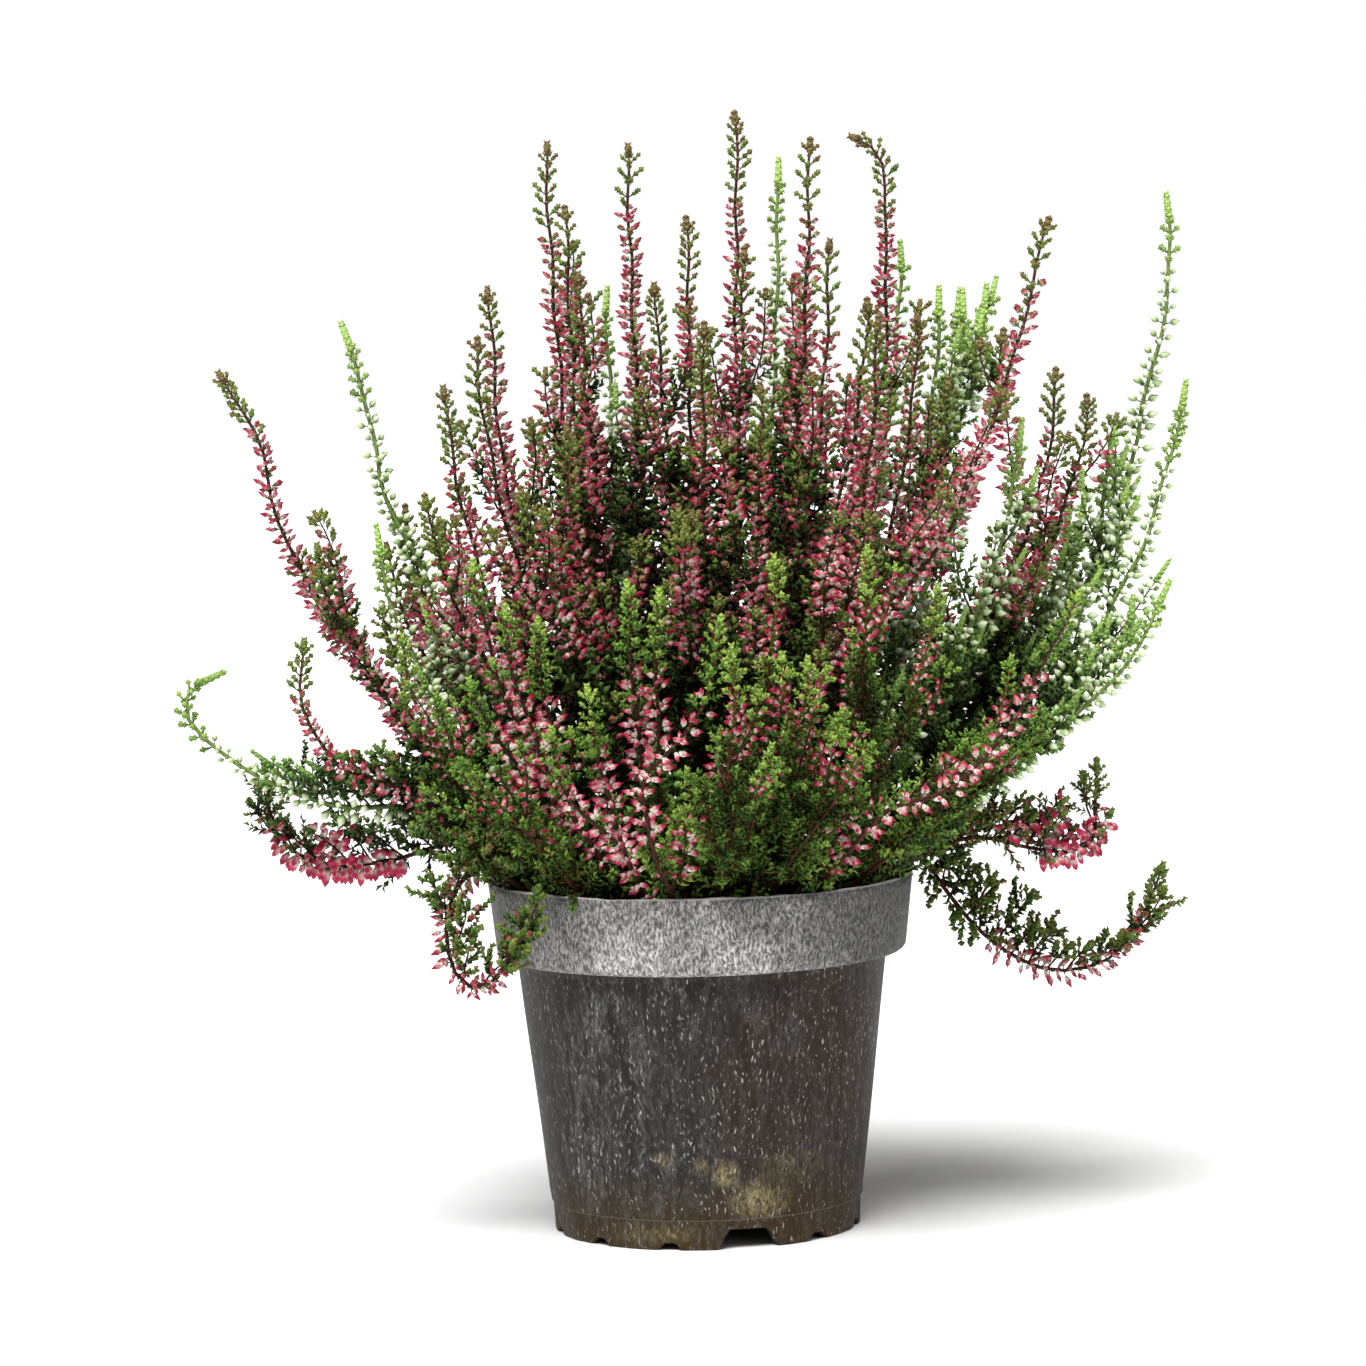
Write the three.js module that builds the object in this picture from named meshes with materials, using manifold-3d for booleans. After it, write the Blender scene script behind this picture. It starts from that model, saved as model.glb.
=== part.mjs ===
// A potted heather: a moulded nursery pot, its peat, and a bush of budding and leafy stems.
// Units are millimetres, +Z is up. Each spray (a stem with its side stems) is one closed solid.
import * as THREE from 'three';
import { mergeVertices } from 'three/addons/utils/BufferGeometryUtils.js';
import Module from 'manifold-3d';

// ---- Driving dimensions: the pot ----
const RIM_RADIUS = 65;
const POT_HEIGHT = 108.4;
const WALL = 1.4;
const BAND_BOTTOM_RADIUS = 62.7;
const BAND_BOTTOM_Z = 84.5;
const BAND_ROUNDING = 2.2;
const BODY_TOP_RADIUS = 56.6;
const FOOT_TOP_RADIUS = 47.2;
const FOOT_TOP_Z = 9;
const FOOT_BOTTOM_RADIUS = 46.2;
const FLOOR_Z = 7;
const POT_SIDES = 48;
const NOTCHES = 3;
const NICKS_PER_NOTCH = 3;
const FIRST_NOTCH_DEG = 15.4;
const NOTCH_DEPTH = 6.2;
const NOTCH_TOP_WIDTH = 12;
const NOTCH_BOTTOM_WIDTH = 19;
const NICK_DEPTH = 2.2;
const NICK_TOP_WIDTH = 4;
const NICK_BOTTOM_WIDTH = 7;

// ---- Driving dimensions: the peat ----
const GAP = 0.35;
const SOIL_TOP_Z = 100;
const SOIL_RINGS = 5;
const SOIL_SIDES = 20;
const SOIL_BUMP = 0.9;
const HOLE_DEPTH = 10;
const HOLE_SIDES = 5;

// ---- Driving dimensions: the stems ----
const STEM_COLUMNS = 3;
const FOOT_STEM_RADIUS = 1.5;
const TIP_STEM_RADIUS = 1.1;
const SIDE_ROOT_RADIUS = 0.8;
const LINE_STEP = 8;
const FOOT_SHARE = 0.36;
const FOOT_SHARE_Z = 180;
const FOOT_MAX_RADIUS = 51;
const FOOT_SPACING = 12;
const FOOT_ROUNDS = 200;
const BOW = 1.7;
const STEM_CLEARANCE = 0.5;
const CLEAR_ROUNDS = 60;
const CLEAR_RADIUS = 5;
const DEPTH_SHARE = 1;
const WIDTH_SHARE = 0.35;
const HEIGHT_SHARE = 0.1;

// Whorls by kind. tip is the length of the closed tip and bloom the share of the rest that buds;
// tipReach, bloomReach and LEAF_REACH are how far the whorls of each stretch stand out.
const KINDS = {
  pink: { tip: 20, bloom: 0.62, tipReach: 4.2, bloomReach: 5.6, colour: 0xb04a5c },
  white: { tip: 16, bloom: 0.62, tipReach: 3.4, bloomReach: 5.2, colour: 0xc6d09a },
  green: { tip: 14, bloom: 0.3, tipReach: 4, bloomReach: 7, colour: 0x5f8f2e },
};
const LEAF_REACH = 10;
const TIP_GAP = 7;
const BLOOM_GAP = 9.6;
const LEAF_GAP = 15;
const WHORL_RISE = 0.75;
const WHORL_LEAST_REACH = 0.4;
const FORK_CLEARANCE = 8;

// ---- The sprays ----
// way: the points that the main stem passes on its way to its tip, the tip last, from the
// middle of the pot. sides: the tips of its side stems, each with the share of the main stem
// at which it leaves. bloom: the budding share, where it isn't its kind's.
const SPRAYS = [
  { kind: 'pink', way: [[-42, 35, 332]], sides: [[-36, 22, 312, 0.3]] },
  { kind: 'pink', way: [[-32, 5, 292]], sides: [[-50, 15, 246, 0.3]] },
  { kind: 'pink', way: [[-17, 48, 331]], sides: [] },
  { kind: 'pink', way: [[1, 30, 308]], sides: [[-9, 18, 288, 0.4]] },
  { kind: 'pink', way: [[17, 42, 340]], sides: [[18, 28, 298, 0.4]] },
  { kind: 'pink', way: [[39, 22, 331]], sides: [] },
  { kind: 'pink', way: [[38, 52, 294]], sides: [[32, 40, 269, 0.4]] },
  { kind: 'pink', way: [[44, 5, 300]], sides: [[55, -4, 282, 0.35]] },
  {
    kind: 'pink',
    way: [[59, 34, 250], [62, 38, 294], [63, 40, 317], [60, 40, 327], [52, 40, 332]],
    sides: [],
  },
  { kind: 'pink', way: [[57, -30, 277]], sides: [] },
  { kind: 'pink', way: [[71, 18, 277]], sides: [[80, 8, 257, 0.4]] },
  {
    kind: 'pink',
    way: [
      [40, -40, 177], [60, -46, 193], [78, -44, 217],
      [97, -32, 263], [103, -28, 284], [109, -26, 305],
    ],
    sides: [[95, -20, 272, 0.72]],
  },
  { kind: 'pink', way: [[113, 12, 259]], sides: [[122, 2, 251, 0.45]] },
  { kind: 'pink', way: [[-60, 15, 288]], sides: [[-64, 2, 273, 0.4]] },
  { kind: 'pink', way: [[-73, -14, 259]], sides: [[-79, -26, 227, 0.35]] },
  { kind: 'pink', way: [[-87, 12, 222]], sides: [[-94, 24, 210, 0.4]] },
  {
    kind: 'pink',
    way: [[-81, -8, 146], [-104, -10, 183], [-122, -12, 212], [-130, -12, 244], [-141, -12, 265]],
    sides: [[-113, -22, 213, 0.5], [-108, 4, 201, 0.42]],
  },
  {
    kind: 'pink',
    way: [[-83, -30, 136], [-105, -34, 145], [-114, -34, 157], [-118, -32, 170], [-117, -30, 185]],
    sides: [],
  },
  {
    kind: 'pink',
    way: [
      [-69, -8, 120], [-91, -8, 116], [-109, -8, 114],
      [-124, -8, 119], [-130, -8, 132], [-132, -8, 146],
    ],
    sides: [],
  },
  {
    kind: 'pink',
    way: [
      [-52, -30, 117], [-66, -38, 118], [-75, -46, 104], [-74, -52, 88],
      [-66, -57, 82], [-57, -60, 90], [-50, -63, 102], [-47, -64, 113],
    ],
    sides: [],
  },
  {
    kind: 'pink',
    way: [[79, -10, 118], [103, -10, 114], [117, -10, 114], [121, -10, 123], [121, -10, 141]],
    sides: [],
  },
  {
    kind: 'pink',
    way: [
      [50, 10, 114], [65, 13, 113], [76, 14, 99], [89, 14, 84],
      [107, 14, 74], [126, 14, 77], [137, 14, 91], [143, 14, 106],
    ],
    sides: [],
  },
  {
    kind: 'pink',
    way: [[53, -70, 132], [73, -80, 140], [88, -80, 154], [101, -74, 174], [113, -66, 196]],
    sides: [],
  },
  { kind: 'pink', bloom: 0.95, way: [[-31, -104, 175]], sides: [[-42, -100, 163, 0.4]] },
  { kind: 'pink', bloom: 0.85, way: [[-19, -78, 203]], sides: [[-10, -92, 201, 0.35]] },
  {
    kind: 'pink',
    bloom: 0.85,
    way: [[-17, -88, 140], [-6, -102, 156], [4, -108, 173], [8, -106, 194]],
    sides: [],
  },
  { kind: 'pink', bloom: 0.75, way: [[-64, -58, 209]], sides: [[-65, -80, 176, 0.35]] },
  { kind: 'pink', bloom: 0.85, way: [[-55, -80, 197]], sides: [[-46, -66, 192, 0.4]] },
  { kind: 'pink', way: [[-37, -22, 247]], sides: [[-50, -36, 229, 0.4]] },
  { kind: 'pink', way: [[5, -6, 276]], sides: [[-4, -48, 223, 0.3]] },
  { kind: 'pink', way: [[22, -26, 258]], sides: [] },
  {
    kind: 'white',
    way: [[-88, 4, 215], [-95, 4, 237], [-98, 4, 255], [-105, 4, 279]],
    sides: [],
  },
  { kind: 'white', way: [[-95, -16, 218]], sides: [] },
  {
    kind: 'white',
    way: [
      [-81, -24, 131], [-107, -26, 134], [-133, -26, 144], [-149, -26, 157],
      [-153, -26, 166], [-149, -26, 173], [-142, -26, 176],
    ],
    sides: [],
  },
  { kind: 'white', way: [[-25, 62, 287]], sides: [[-16, 50, 280, 0.4]] },
  { kind: 'white', way: [[30, 64, 326]], sides: [] },
  { kind: 'white', way: [[68, 60, 299]], sides: [] },
  { kind: 'white', way: [[79, 34, 285]], sides: [[86, 26, 284, 0.7]] },
  { kind: 'white', way: [[86, 54, 284]], sides: [[94, 46, 285, 0.7]] },
  {
    kind: 'white',
    way: [[126, 20, 200], [134, 20, 224], [143, 18, 260], [148, 16, 283], [148, 16, 312]],
    sides: [[128, 6, 239, 0.5]],
  },
  {
    kind: 'white',
    way: [[111, -4, 159], [125, -4, 183], [137, -2, 205], [145, 0, 228], [152, 0, 255]],
    sides: [],
  },
  { kind: 'white', way: [[123, 36, 221]], sides: [[117, 24, 216, 0.4]] },
  { kind: 'white', way: [[122, -24, 163], [133, -24, 177], [144, -24, 196]], sides: [[134, -14, 191, 0.6]] },
  { kind: 'white', way: [[100, -14, 245]], sides: [] },
  { kind: 'green', way: [[11, -116, 187]], sides: [[-4, -98, 150, 0.3], [22, -112, 158, 0.4]] },
  { kind: 'green', way: [[24, -96, 211]], sides: [[33, -106, 182, 0.35], [42, -96, 166, 0.25]] },
  { kind: 'green', way: [[-87, -44, 187]], sides: [[-76, -56, 170, 0.4]] },
  { kind: 'green', way: [[-50, -66, 128], [-68, -92, 154]], sides: [[-80, -70, 144, 0.5]] },
  { kind: 'green', way: [[71, -78, 200]], sides: [[52, -64, 211, 0.35]] },
  { kind: 'green', way: [[94, -56, 177]], sides: [[104, -46, 160, 0.4], [86, -68, 158, 0.35]] },
  { kind: 'green', way: [[32, -72, 130], [51, -108, 157]], sides: [[62, -90, 144, 0.5]] },
  { kind: 'green', way: [[-9, -56, 132], [-8, -72, 124]], sides: [] },
  { kind: 'pink', way: [[-80, 70, 215]], sides: [[-58, 96, 200, 0.35], [-98, 50, 190, 0.3]] },
  { kind: 'pink', way: [[-35, 92, 240]], sides: [[-22, 120, 205, 0.35], [-52, 112, 178, 0.3]] },
  { kind: 'white', way: [[5, 84, 262]], sides: [[14, 124, 215, 0.3], [-6, 112, 182, 0.3]] },
  { kind: 'pink', way: [[45, 96, 250]], sides: [[40, 122, 200, 0.35], [64, 112, 178, 0.3]] },
  { kind: 'pink', way: [[84, 78, 225]], sides: [[104, 62, 205, 0.35], [80, 102, 182, 0.3]] },
];

// ---- Lines: centrelines as lists of [x, y, z] ----
const distance = (a, b) => Math.hypot(a[0] - b[0], a[1] - b[1], a[2] - b[2]);
const between = (a, b, t) => a.map((value, axis) => value + (b[axis] - value) * t);

// A stem that first leans out and then turns upright: its way out leads its climb.
function bowed(from, to) {
  const line = [];
  const count = 40;
  for (let i = 0; i <= count; i += 1) {
    const climb = i / count;
    const [x, y] = between(from, to, 1 - (1 - climb) ** BOW);
    line.push([x, y, between(from, to, climb)[2]]);
  }
  return line;
}

// A smooth line through the points given.
function through(points) {
  const line = [];
  const count = 12;
  for (let i = 0; i + 1 < points.length; i += 1) {
    const before = points[Math.max(i - 1, 0)];
    const after = points[Math.min(i + 2, points.length - 1)];
    for (let k = 0; k < count; k += 1) {
      const t = k / count;
      line.push(points[i].map((value, axis) => {
        const next = points[i + 1][axis];
        const slope = next - before[axis];
        const bend = 2 * before[axis] - 5 * value + 4 * next - after[axis];
        const twist = 3 * value - before[axis] - 3 * next + after[axis];
        return value + 0.5 * (slope * t + bend * t * t + twist * t * t * t);
      }));
    }
  }
  line.push(points.at(-1));
  return line;
}

// The same line as points an even step apart.
function evenly(line, step) {
  const run = [0];
  for (let i = 1; i < line.length; i += 1) {
    run.push(run[i - 1] + distance(line[i - 1], line[i]));
  }
  const count = Math.max(2, Math.round(run.at(-1) / step));
  const even = [];
  let i = 1;
  for (let k = 0; k <= count; k += 1) {
    const along = (run.at(-1) * k) / count;
    while (i < line.length - 1 && run[i] < along) i += 1;
    even.push(between(line[i - 1], line[i], (along - run[i - 1]) / (run[i] - run[i - 1])));
  }
  return even;
}

// ---- Feet: where the stems stand in the peat ----
function footOf(spray) {
  const [x, y, z] = spray.way[0];
  const share = FOOT_SHARE + (1 - FOOT_SHARE) * Math.max(0, 1 - z / FOOT_SHARE_Z);
  return [x * share, y * share];
}

// Pushes feet apart until each has its own ground, inside the pot.
function settleFeet(feet) {
  for (let round = 0; round < FOOT_ROUNDS; round += 1) {
    const push = feet.map(() => [0, 0]);
    for (let a = 0; a < feet.length; a += 1) {
      for (let b = a + 1; b < feet.length; b += 1) {
        const away = [feet[a][0] - feet[b][0], feet[a][1] - feet[b][1]];
        const apart = Math.max(Math.hypot(away[0], away[1]), 0.01);
        if (apart >= FOOT_SPACING) continue;
        const share = (0.4 * (FOOT_SPACING - apart)) / apart;
        for (const axis of [0, 1]) {
          push[a][axis] += away[axis] * share;
          push[b][axis] -= away[axis] * share;
        }
      }
    }
    feet.forEach((foot, i) => {
      foot[0] += push[i][0];
      foot[1] += push[i][1];
      const inward = Math.min(1, FOOT_MAX_RADIUS / Math.hypot(foot[0], foot[1]));
      foot[0] *= inward;
      foot[1] *= inward;
    });
  }
}

// ---- Stems: a line for each stem and side stem ----
function growLines() {
  const feet = SPRAYS.map(footOf);
  settleFeet(feet);
  const lines = [];
  SPRAYS.forEach((spray, index) => {
    const foot = [feet[index][0], feet[index][1], SOIL_TOP_Z];
    const way = spray.way.length === 1 ? bowed(foot, spray.way[0]) : through([foot, ...spray.way]);
    const kind = { ...KINDS[spray.kind], ...(spray.bloom && { bloom: spray.bloom }) };
    const main = { spray: index, kind, points: evenly(way, LINE_STEP), joins: [] };
    lines.push(main);
    for (const [x, y, z, share] of spray.sides) {
      const join = Math.round(share * (main.points.length - 1));
      main.joins.push(join);
      const side = bowed(main.points[join], [x, y, z]);
      lines.push({ spray: index, kind, points: evenly(side, LINE_STEP), main, join, joins: [] });
    }
  });
  return lines;
}

// Bends stems clear of each other, mostly to the front and back. Feet stay where they stand
// and a side stem's root goes along with its main stem.
function bendClear(lines) {
  const need = 2 * CLEAR_RADIUS + STEM_CLEARANCE;
  const shares = [WIDTH_SHARE, DEPTH_SHARE, HEIGHT_SHARE];
  for (let round = 0; round < CLEAR_ROUNDS; round += 1) {
    const pushes = lines.map((line) => line.points.map(() => [0, 0, 0]));
    for (let a = 0; a < lines.length; a += 1) {
      for (let b = a + 1; b < lines.length; b += 1) {
        const sameSpray = lines[a].spray === lines[b].spray;
        lines[a].points.forEach((p, i) => {
          lines[b].points.forEach((q, k) => {
            if (sameSpray && k < 3) return;
            if (Math.abs(p[0] - q[0]) > need || Math.abs(p[1] - q[1]) > need) return;
            const apart = Math.max(distance(p, q), 0.01);
            if (apart >= need) return;
            const share = (0.25 * (need - apart)) / apart;
            for (const axis of [0, 1, 2]) {
              const part = (p[axis] - q[axis]) * share * shares[axis];
              pushes[a][i][axis] += part;
              pushes[b][k][axis] -= part;
            }
          });
        });
      }
    }
    lines.forEach((line, index) => {
      const last = line.points.length - 1;
      let push = pushes[index];
      for (let pass = 0; pass < 3; pass += 1) {
        push = push.map((value, i) => value.map((part, axis) => 0.5 * part
          + 0.25 * push[Math.max(i - 1, 0)][axis] + 0.25 * push[Math.min(i + 1, last)][axis]));
      }
      const root = line.main ? line.main.points[line.join] : line.points[0];
      const lag = root.map((value, axis) => value - line.points[0][axis]);
      line.points = line.points.map((point, i) => {
        const free = Math.min(1, i / 4);
        return point.map((value, axis) => value + push[i][axis] * free + lag[axis] * (1 - i / last));
      });
    });
  }
}

// The run from the tip at which the buds end and the leafy twigs begin.
function bloomEnd(kind, length) {
  return kind.tip + kind.bloom * (length - kind.tip);
}

// How far the whorls may reach at a run from the tip, before neighbours are counted.
function kindReach(kind, fromTip, length) {
  if (fromTip < kind.tip) {
    return TIP_STEM_RADIUS + ((kind.tipReach - TIP_STEM_RADIUS) * fromTip) / kind.tip;
  }
  if (fromTip >= bloomEnd(kind, length)) return LEAF_REACH;
  const opening = Math.min(1, (fromTip - kind.tip) / kind.tip);
  return kind.tipReach + (kind.bloomReach - kind.tipReach) * opening;
}

// The free reach at each point of each line, so that no whorl meets another stem's.
function shareRoom(lines) {
  const fine = lines.map((line) => {
    const points = evenly(line.points, 2);
    const length = LINE_STEP * (line.points.length - 1);
    return points.map((point, i) => {
      const fromTip = length * (1 - i / (points.length - 1));
      return { point, reach: kindReach(line.kind, fromTip, length) };
    });
  });
  for (const line of lines) {
    const length = LINE_STEP * (line.points.length - 1);
    line.reach = line.points.map((point, i) => {
      const own = kindReach(line.kind, length - LINE_STEP * i, length);
      let free = own;
      fine.forEach((others, index) => {
        if (lines[index].spray === line.spray) return;
        for (const other of others) {
          const room = (distance(point, other.point) * own) / (own + other.reach);
          free = Math.min(free, room - STEM_CLEARANCE / 2);
        }
      });
      return free;
    });
  }
}

// ---- Solids ----
const wasm = await Module();
wasm.setup();

// A closed geometry as a solid that can be joined and cut.
function toSolid(geometry) {
  const bare = geometry.clone();
  bare.deleteAttribute('normal');
  bare.deleteAttribute('uv');
  const merged = mergeVertices(bare, 1e-4);
  return new wasm.Manifold(new wasm.Mesh({
    numProp: 3,
    vertProperties: new Float32Array(merged.attributes.position.array),
    triVerts: new Uint32Array(merged.index.array),
  }));
}

function toGeometry(solid) {
  const mesh = solid.getMesh();
  const geometry = new THREE.BufferGeometry();
  geometry.setAttribute('position', new THREE.BufferAttribute(mesh.vertProperties, 3));
  geometry.setIndex(new THREE.BufferAttribute(mesh.triVerts, 1));
  geometry.computeVertexNormals();
  return geometry;
}

// Random numbers from 0 to 1 that repeat from the same seed.
function draws(seed) {
  let state = seed;
  return () => {
    state = (state + 0x6d2b79f5) | 0;
    let t = Math.imul(state ^ (state >>> 15), 1 | state);
    t = (t + Math.imul(t ^ (t >>> 7), 61 | t)) ^ t;
    return ((t ^ (t >>> 14)) >>> 0) / 4294967296;
  };
}

// True within a small margin of the pot or its peat.
function inPot(point) {
  const out = Math.hypot(point.x, point.y);
  if (point.z > POT_HEIGHT + 1 || out > RIM_RADIUS + 1) return false;
  return point.z < SOIL_TOP_Z + SOIL_BUMP + 0.8 || out > RIM_RADIUS - WALL - 2;
}

// A stem's skin: rings of three corners from root to tip. Each whorl is a narrow ring and a
// wide one just above it, whose corners are the buds or twigs, turned from whorl to whorl.
function stemSolid(line, random) {
  const curve = line.points.map((point) => new THREE.Vector3(...point));
  const length = LINE_STEP * (curve.length - 1);
  const at = (run) => {
    const place = Math.min(Math.max(run / LINE_STEP, 0), curve.length - 1);
    const i = Math.min(Math.floor(place), curve.length - 2);
    return curve[i].clone().lerp(curve[i + 1], place - i);
  };
  const freeAt = (run) => {
    const place = Math.min(Math.max(run / LINE_STEP, 0), curve.length - 1);
    return Math.min(line.reach[Math.floor(place)], line.reach[Math.ceil(place)]);
  };
  const positions = [];
  const rings = [];
  const side = new THREE.Vector3(1, 0, 0);
  const ring = (centre, tangent, reaches, turn, lift) => {
    side.addScaledVector(tangent, -side.dot(tangent)).normalize();
    const front = tangent.clone().cross(side);
    return reaches.map((reach, column) => {
      const angle = turn + (2 * Math.PI * column) / STEM_COLUMNS;
      return centre.clone().addScaledVector(side, reach * Math.cos(angle))
        .addScaledVector(front, reach * Math.sin(angle)).addScaledVector(tangent, lift[column]);
    });
  };
  const addRing = (corners) => {
    rings.push(corners.map((corner) => positions.push(corner.x, corner.y, corner.z) / 3 - 1));
  };
  const level = new Array(STEM_COLUMNS).fill(0);
  const round = (radius) => new Array(STEM_COLUMNS).fill(radius);
  const tangentAt = (run) => at(run + 1).sub(at(run - 1)).normalize();

  let turn = random() * Math.PI;
  let run = 5;
  if (line.main) {
    addRing(ring(at(0), tangentAt(2), round(0.5 * SIDE_ROOT_RADIUS), turn, level));
    addRing(ring(at(5), tangentAt(5), round(TIP_STEM_RADIUS), turn, level));
    run = 9;
  } else {
    const up = new THREE.Vector3(0, 0, 1);
    for (const z of [0.5 - HOLE_DEPTH, SOIL_BUMP + 0.3]) {
      const centre = curve[0].clone().setZ(SOIL_TOP_Z + z);
      addRing(ring(centre, up, round(FOOT_STEM_RADIUS), turn, level));
    }
  }
  while (run < length - 5) {
    const fromTip = length - run;
    let gap = LEAF_GAP;
    if (fromTip < bloomEnd(line.kind, length)) gap = BLOOM_GAP;
    if (fromTip < line.kind.tip) gap = TIP_GAP;
    const stem = FOOT_STEM_RADIUS + ((TIP_STEM_RADIUS - FOOT_STEM_RADIUS) * run) / length;
    addRing(ring(at(run), tangentAt(run), round(line.main ? TIP_STEM_RADIUS : stem), turn, level));
    const outer = Math.min(run + WHORL_RISE * gap, length - 2);
    const bare = line.joins.some((join) => Math.abs(run - join * LINE_STEP) < FORK_CLEARANCE);
    let reach = Math.min(freeAt(run), freeAt(outer));
    const spread = level.map(() => 0.86 + 0.28 * random());
    const lift = level.map(() => (random() - 0.5) * 0.12 * gap);
    while (!bare && reach > stem + WHORL_LEAST_REACH) {
      const reaches = spread.map((part) => reach * part);
      const corners = ring(at(outer), tangentAt(outer), reaches, turn, lift);
      const edges = corners.flatMap((corner, column) => [0, 0.25, 0.5, 0.75].flatMap((t) => [
        corner.clone().lerp(corners[(column + 1) % STEM_COLUMNS], t),
        corner.clone().lerp(at(run), t),
        corner.clone().lerp(at(run + gap), t),
      ]));
      if (!edges.some(inPot)) {
        addRing(corners);
        break;
      }
      reach *= 0.85;
    }
    turn += Math.PI / 3 + (random() - 0.5) * 0.3;
    run += gap;
  }
  const apex = positions.push(...at(length).toArray()) / 3 - 1;

  const faces = [];
  const first = rings[0];
  const last = rings.at(-1);
  for (let column = 0; column < STEM_COLUMNS; column += 1) {
    const next = (column + 1) % STEM_COLUMNS;
    for (let i = 0; i + 1 < rings.length; i += 1) {
      faces.push(rings[i][column], rings[i][next], rings[i + 1][column]);
      faces.push(rings[i][next], rings[i + 1][next], rings[i + 1][column]);
    }
    faces.push(last[column], last[next], apex);
  }
  faces.push(first[0], first[2], first[1]);
  return new wasm.Manifold(new wasm.Mesh({
    numProp: 3,
    vertProperties: new Float32Array(positions),
    triVerts: new Uint32Array(faces),
  }));
}

// ---- The pot ----
function lathe(profile, sides) {
  const geometry = new THREE.LatheGeometry(profile.map(([r, z]) => new THREE.Vector2(r, z)), sides);
  geometry.rotateX(Math.PI / 2);
  return geometry;
}

// A cut in the foot ring: a trapezium's prism, pointing outwards at an angle from the front.
function notch(depth, topWidth, bottomWidth, angle) {
  const outline = new THREE.Shape([
    new THREE.Vector2(-bottomWidth / 2, -0.5),
    new THREE.Vector2(bottomWidth / 2, -0.5),
    new THREE.Vector2(topWidth / 2, depth),
    new THREE.Vector2(-topWidth / 2, depth),
  ]);
  const prism = new THREE.ExtrudeGeometry(outline, { depth: 12, bevelEnabled: false });
  prism.rotateX(Math.PI / 2);
  prism.translate(0, 4 - FOOT_BOTTOM_RADIUS, 0);
  prism.rotateZ(angle);
  return toSolid(prism);
}

function potGeometry() {
  const profile = [
    [0, FLOOR_Z - WALL],
    [FOOT_BOTTOM_RADIUS - 2, FLOOR_Z - WALL],
    [FOOT_BOTTOM_RADIUS - 2.2, 0],
    [FOOT_BOTTOM_RADIUS, 0],
    [FOOT_TOP_RADIUS, FOOT_TOP_Z],
    [FOOT_TOP_RADIUS + 0.6, FOOT_TOP_Z + 0.5],
    [BODY_TOP_RADIUS, BAND_BOTTOM_Z],
    [BAND_BOTTOM_RADIUS - BAND_ROUNDING, BAND_BOTTOM_Z],
    [BAND_BOTTOM_RADIUS, BAND_BOTTOM_Z + BAND_ROUNDING],
    [RIM_RADIUS, POT_HEIGHT],
    [RIM_RADIUS - WALL, POT_HEIGHT],
    [BAND_BOTTOM_RADIUS - WALL, BAND_BOTTOM_Z + BAND_ROUNDING + 0.4],
    [BODY_TOP_RADIUS - WALL, BAND_BOTTOM_Z + WALL],
    [FOOT_TOP_RADIUS - WALL, FLOOR_Z],
    [0, FLOOR_Z],
  ];
  let solid = toSolid(lathe(profile, POT_SIDES));
  const cuts = NOTCHES * (1 + NICKS_PER_NOTCH);
  for (let i = 0; i < cuts; i += 1) {
    const angle = THREE.MathUtils.degToRad(FIRST_NOTCH_DEG + (360 * i) / cuts);
    solid = solid.subtract(i % (1 + NICKS_PER_NOTCH) === 0
      ? notch(NOTCH_DEPTH, NOTCH_TOP_WIDTH, NOTCH_BOTTOM_WIDTH, angle)
      : notch(NICK_DEPTH, NICK_TOP_WIDTH, NICK_BOTTOM_WIDTH, angle));
  }
  return toGeometry(solid);
}

// ---- The peat, with a plain hole for each foot ----
function soilGeometry(feet) {
  const inside = (potRadius) => potRadius * Math.cos(Math.PI / POT_SIDES) - GAP;
  const bandZ = BAND_BOTTOM_Z + BAND_ROUNDING;
  const rise = (SOIL_TOP_Z - bandZ) / (POT_HEIGHT - bandZ);
  const topRadius = inside(BAND_BOTTOM_RADIUS + (RIM_RADIUS - BAND_BOTTOM_RADIUS) * rise - WALL);
  const profile = [
    [0, FLOOR_Z + GAP],
    [inside(FOOT_TOP_RADIUS - WALL), FLOOR_Z + GAP],
    [inside(BODY_TOP_RADIUS - WALL), BAND_BOTTOM_Z + WALL + GAP],
    [inside(BAND_BOTTOM_RADIUS - WALL), bandZ + 1.2],
    [topRadius, SOIL_TOP_Z],
  ];
  for (let i = 1; i <= SOIL_RINGS; i += 1) {
    profile.push([topRadius * (1 - i / SOIL_RINGS), SOIL_TOP_Z]);
  }
  const geometry = lathe(profile, SOIL_SIDES);
  const place = geometry.attributes.position;
  for (let i = 0; i < place.count; i += 1) {
    const isInner = Math.hypot(place.getX(i), place.getY(i)) < topRadius - 1;
    if (isInner && place.getZ(i) > SOIL_TOP_Z - 0.01) {
      const wave = Math.sin(place.getX(i) * 0.31) * Math.cos(place.getY(i) * 0.23 + 0.6);
      place.setZ(i, SOIL_TOP_Z + SOIL_BUMP * wave);
    }
  }
  let solid = toSolid(geometry);
  const inner = FOOT_STEM_RADIUS + GAP;
  const holeRadius = inner / Math.cos(Math.PI / HOLE_SIDES);
  for (const [x, y] of feet) {
    const hole = new THREE.CylinderGeometry(holeRadius, holeRadius, 2 * HOLE_DEPTH, HOLE_SIDES);
    hole.rotateX(Math.PI / 2);
    hole.translate(x, y, SOIL_TOP_Z);
    solid = solid.subtract(toSolid(hole));
  }
  return toGeometry(solid);
}

// ---- The assembly ----
const group = new THREE.Group();
const plant = new THREE.Group();
group.add(plant);

function addMesh(name, geometry, color, roughness) {
  const material = new THREE.MeshStandardMaterial({ color, roughness, flatShading: true });
  const mesh = new THREE.Mesh(geometry, material);
  mesh.name = name;
  plant.add(mesh);
}

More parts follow.
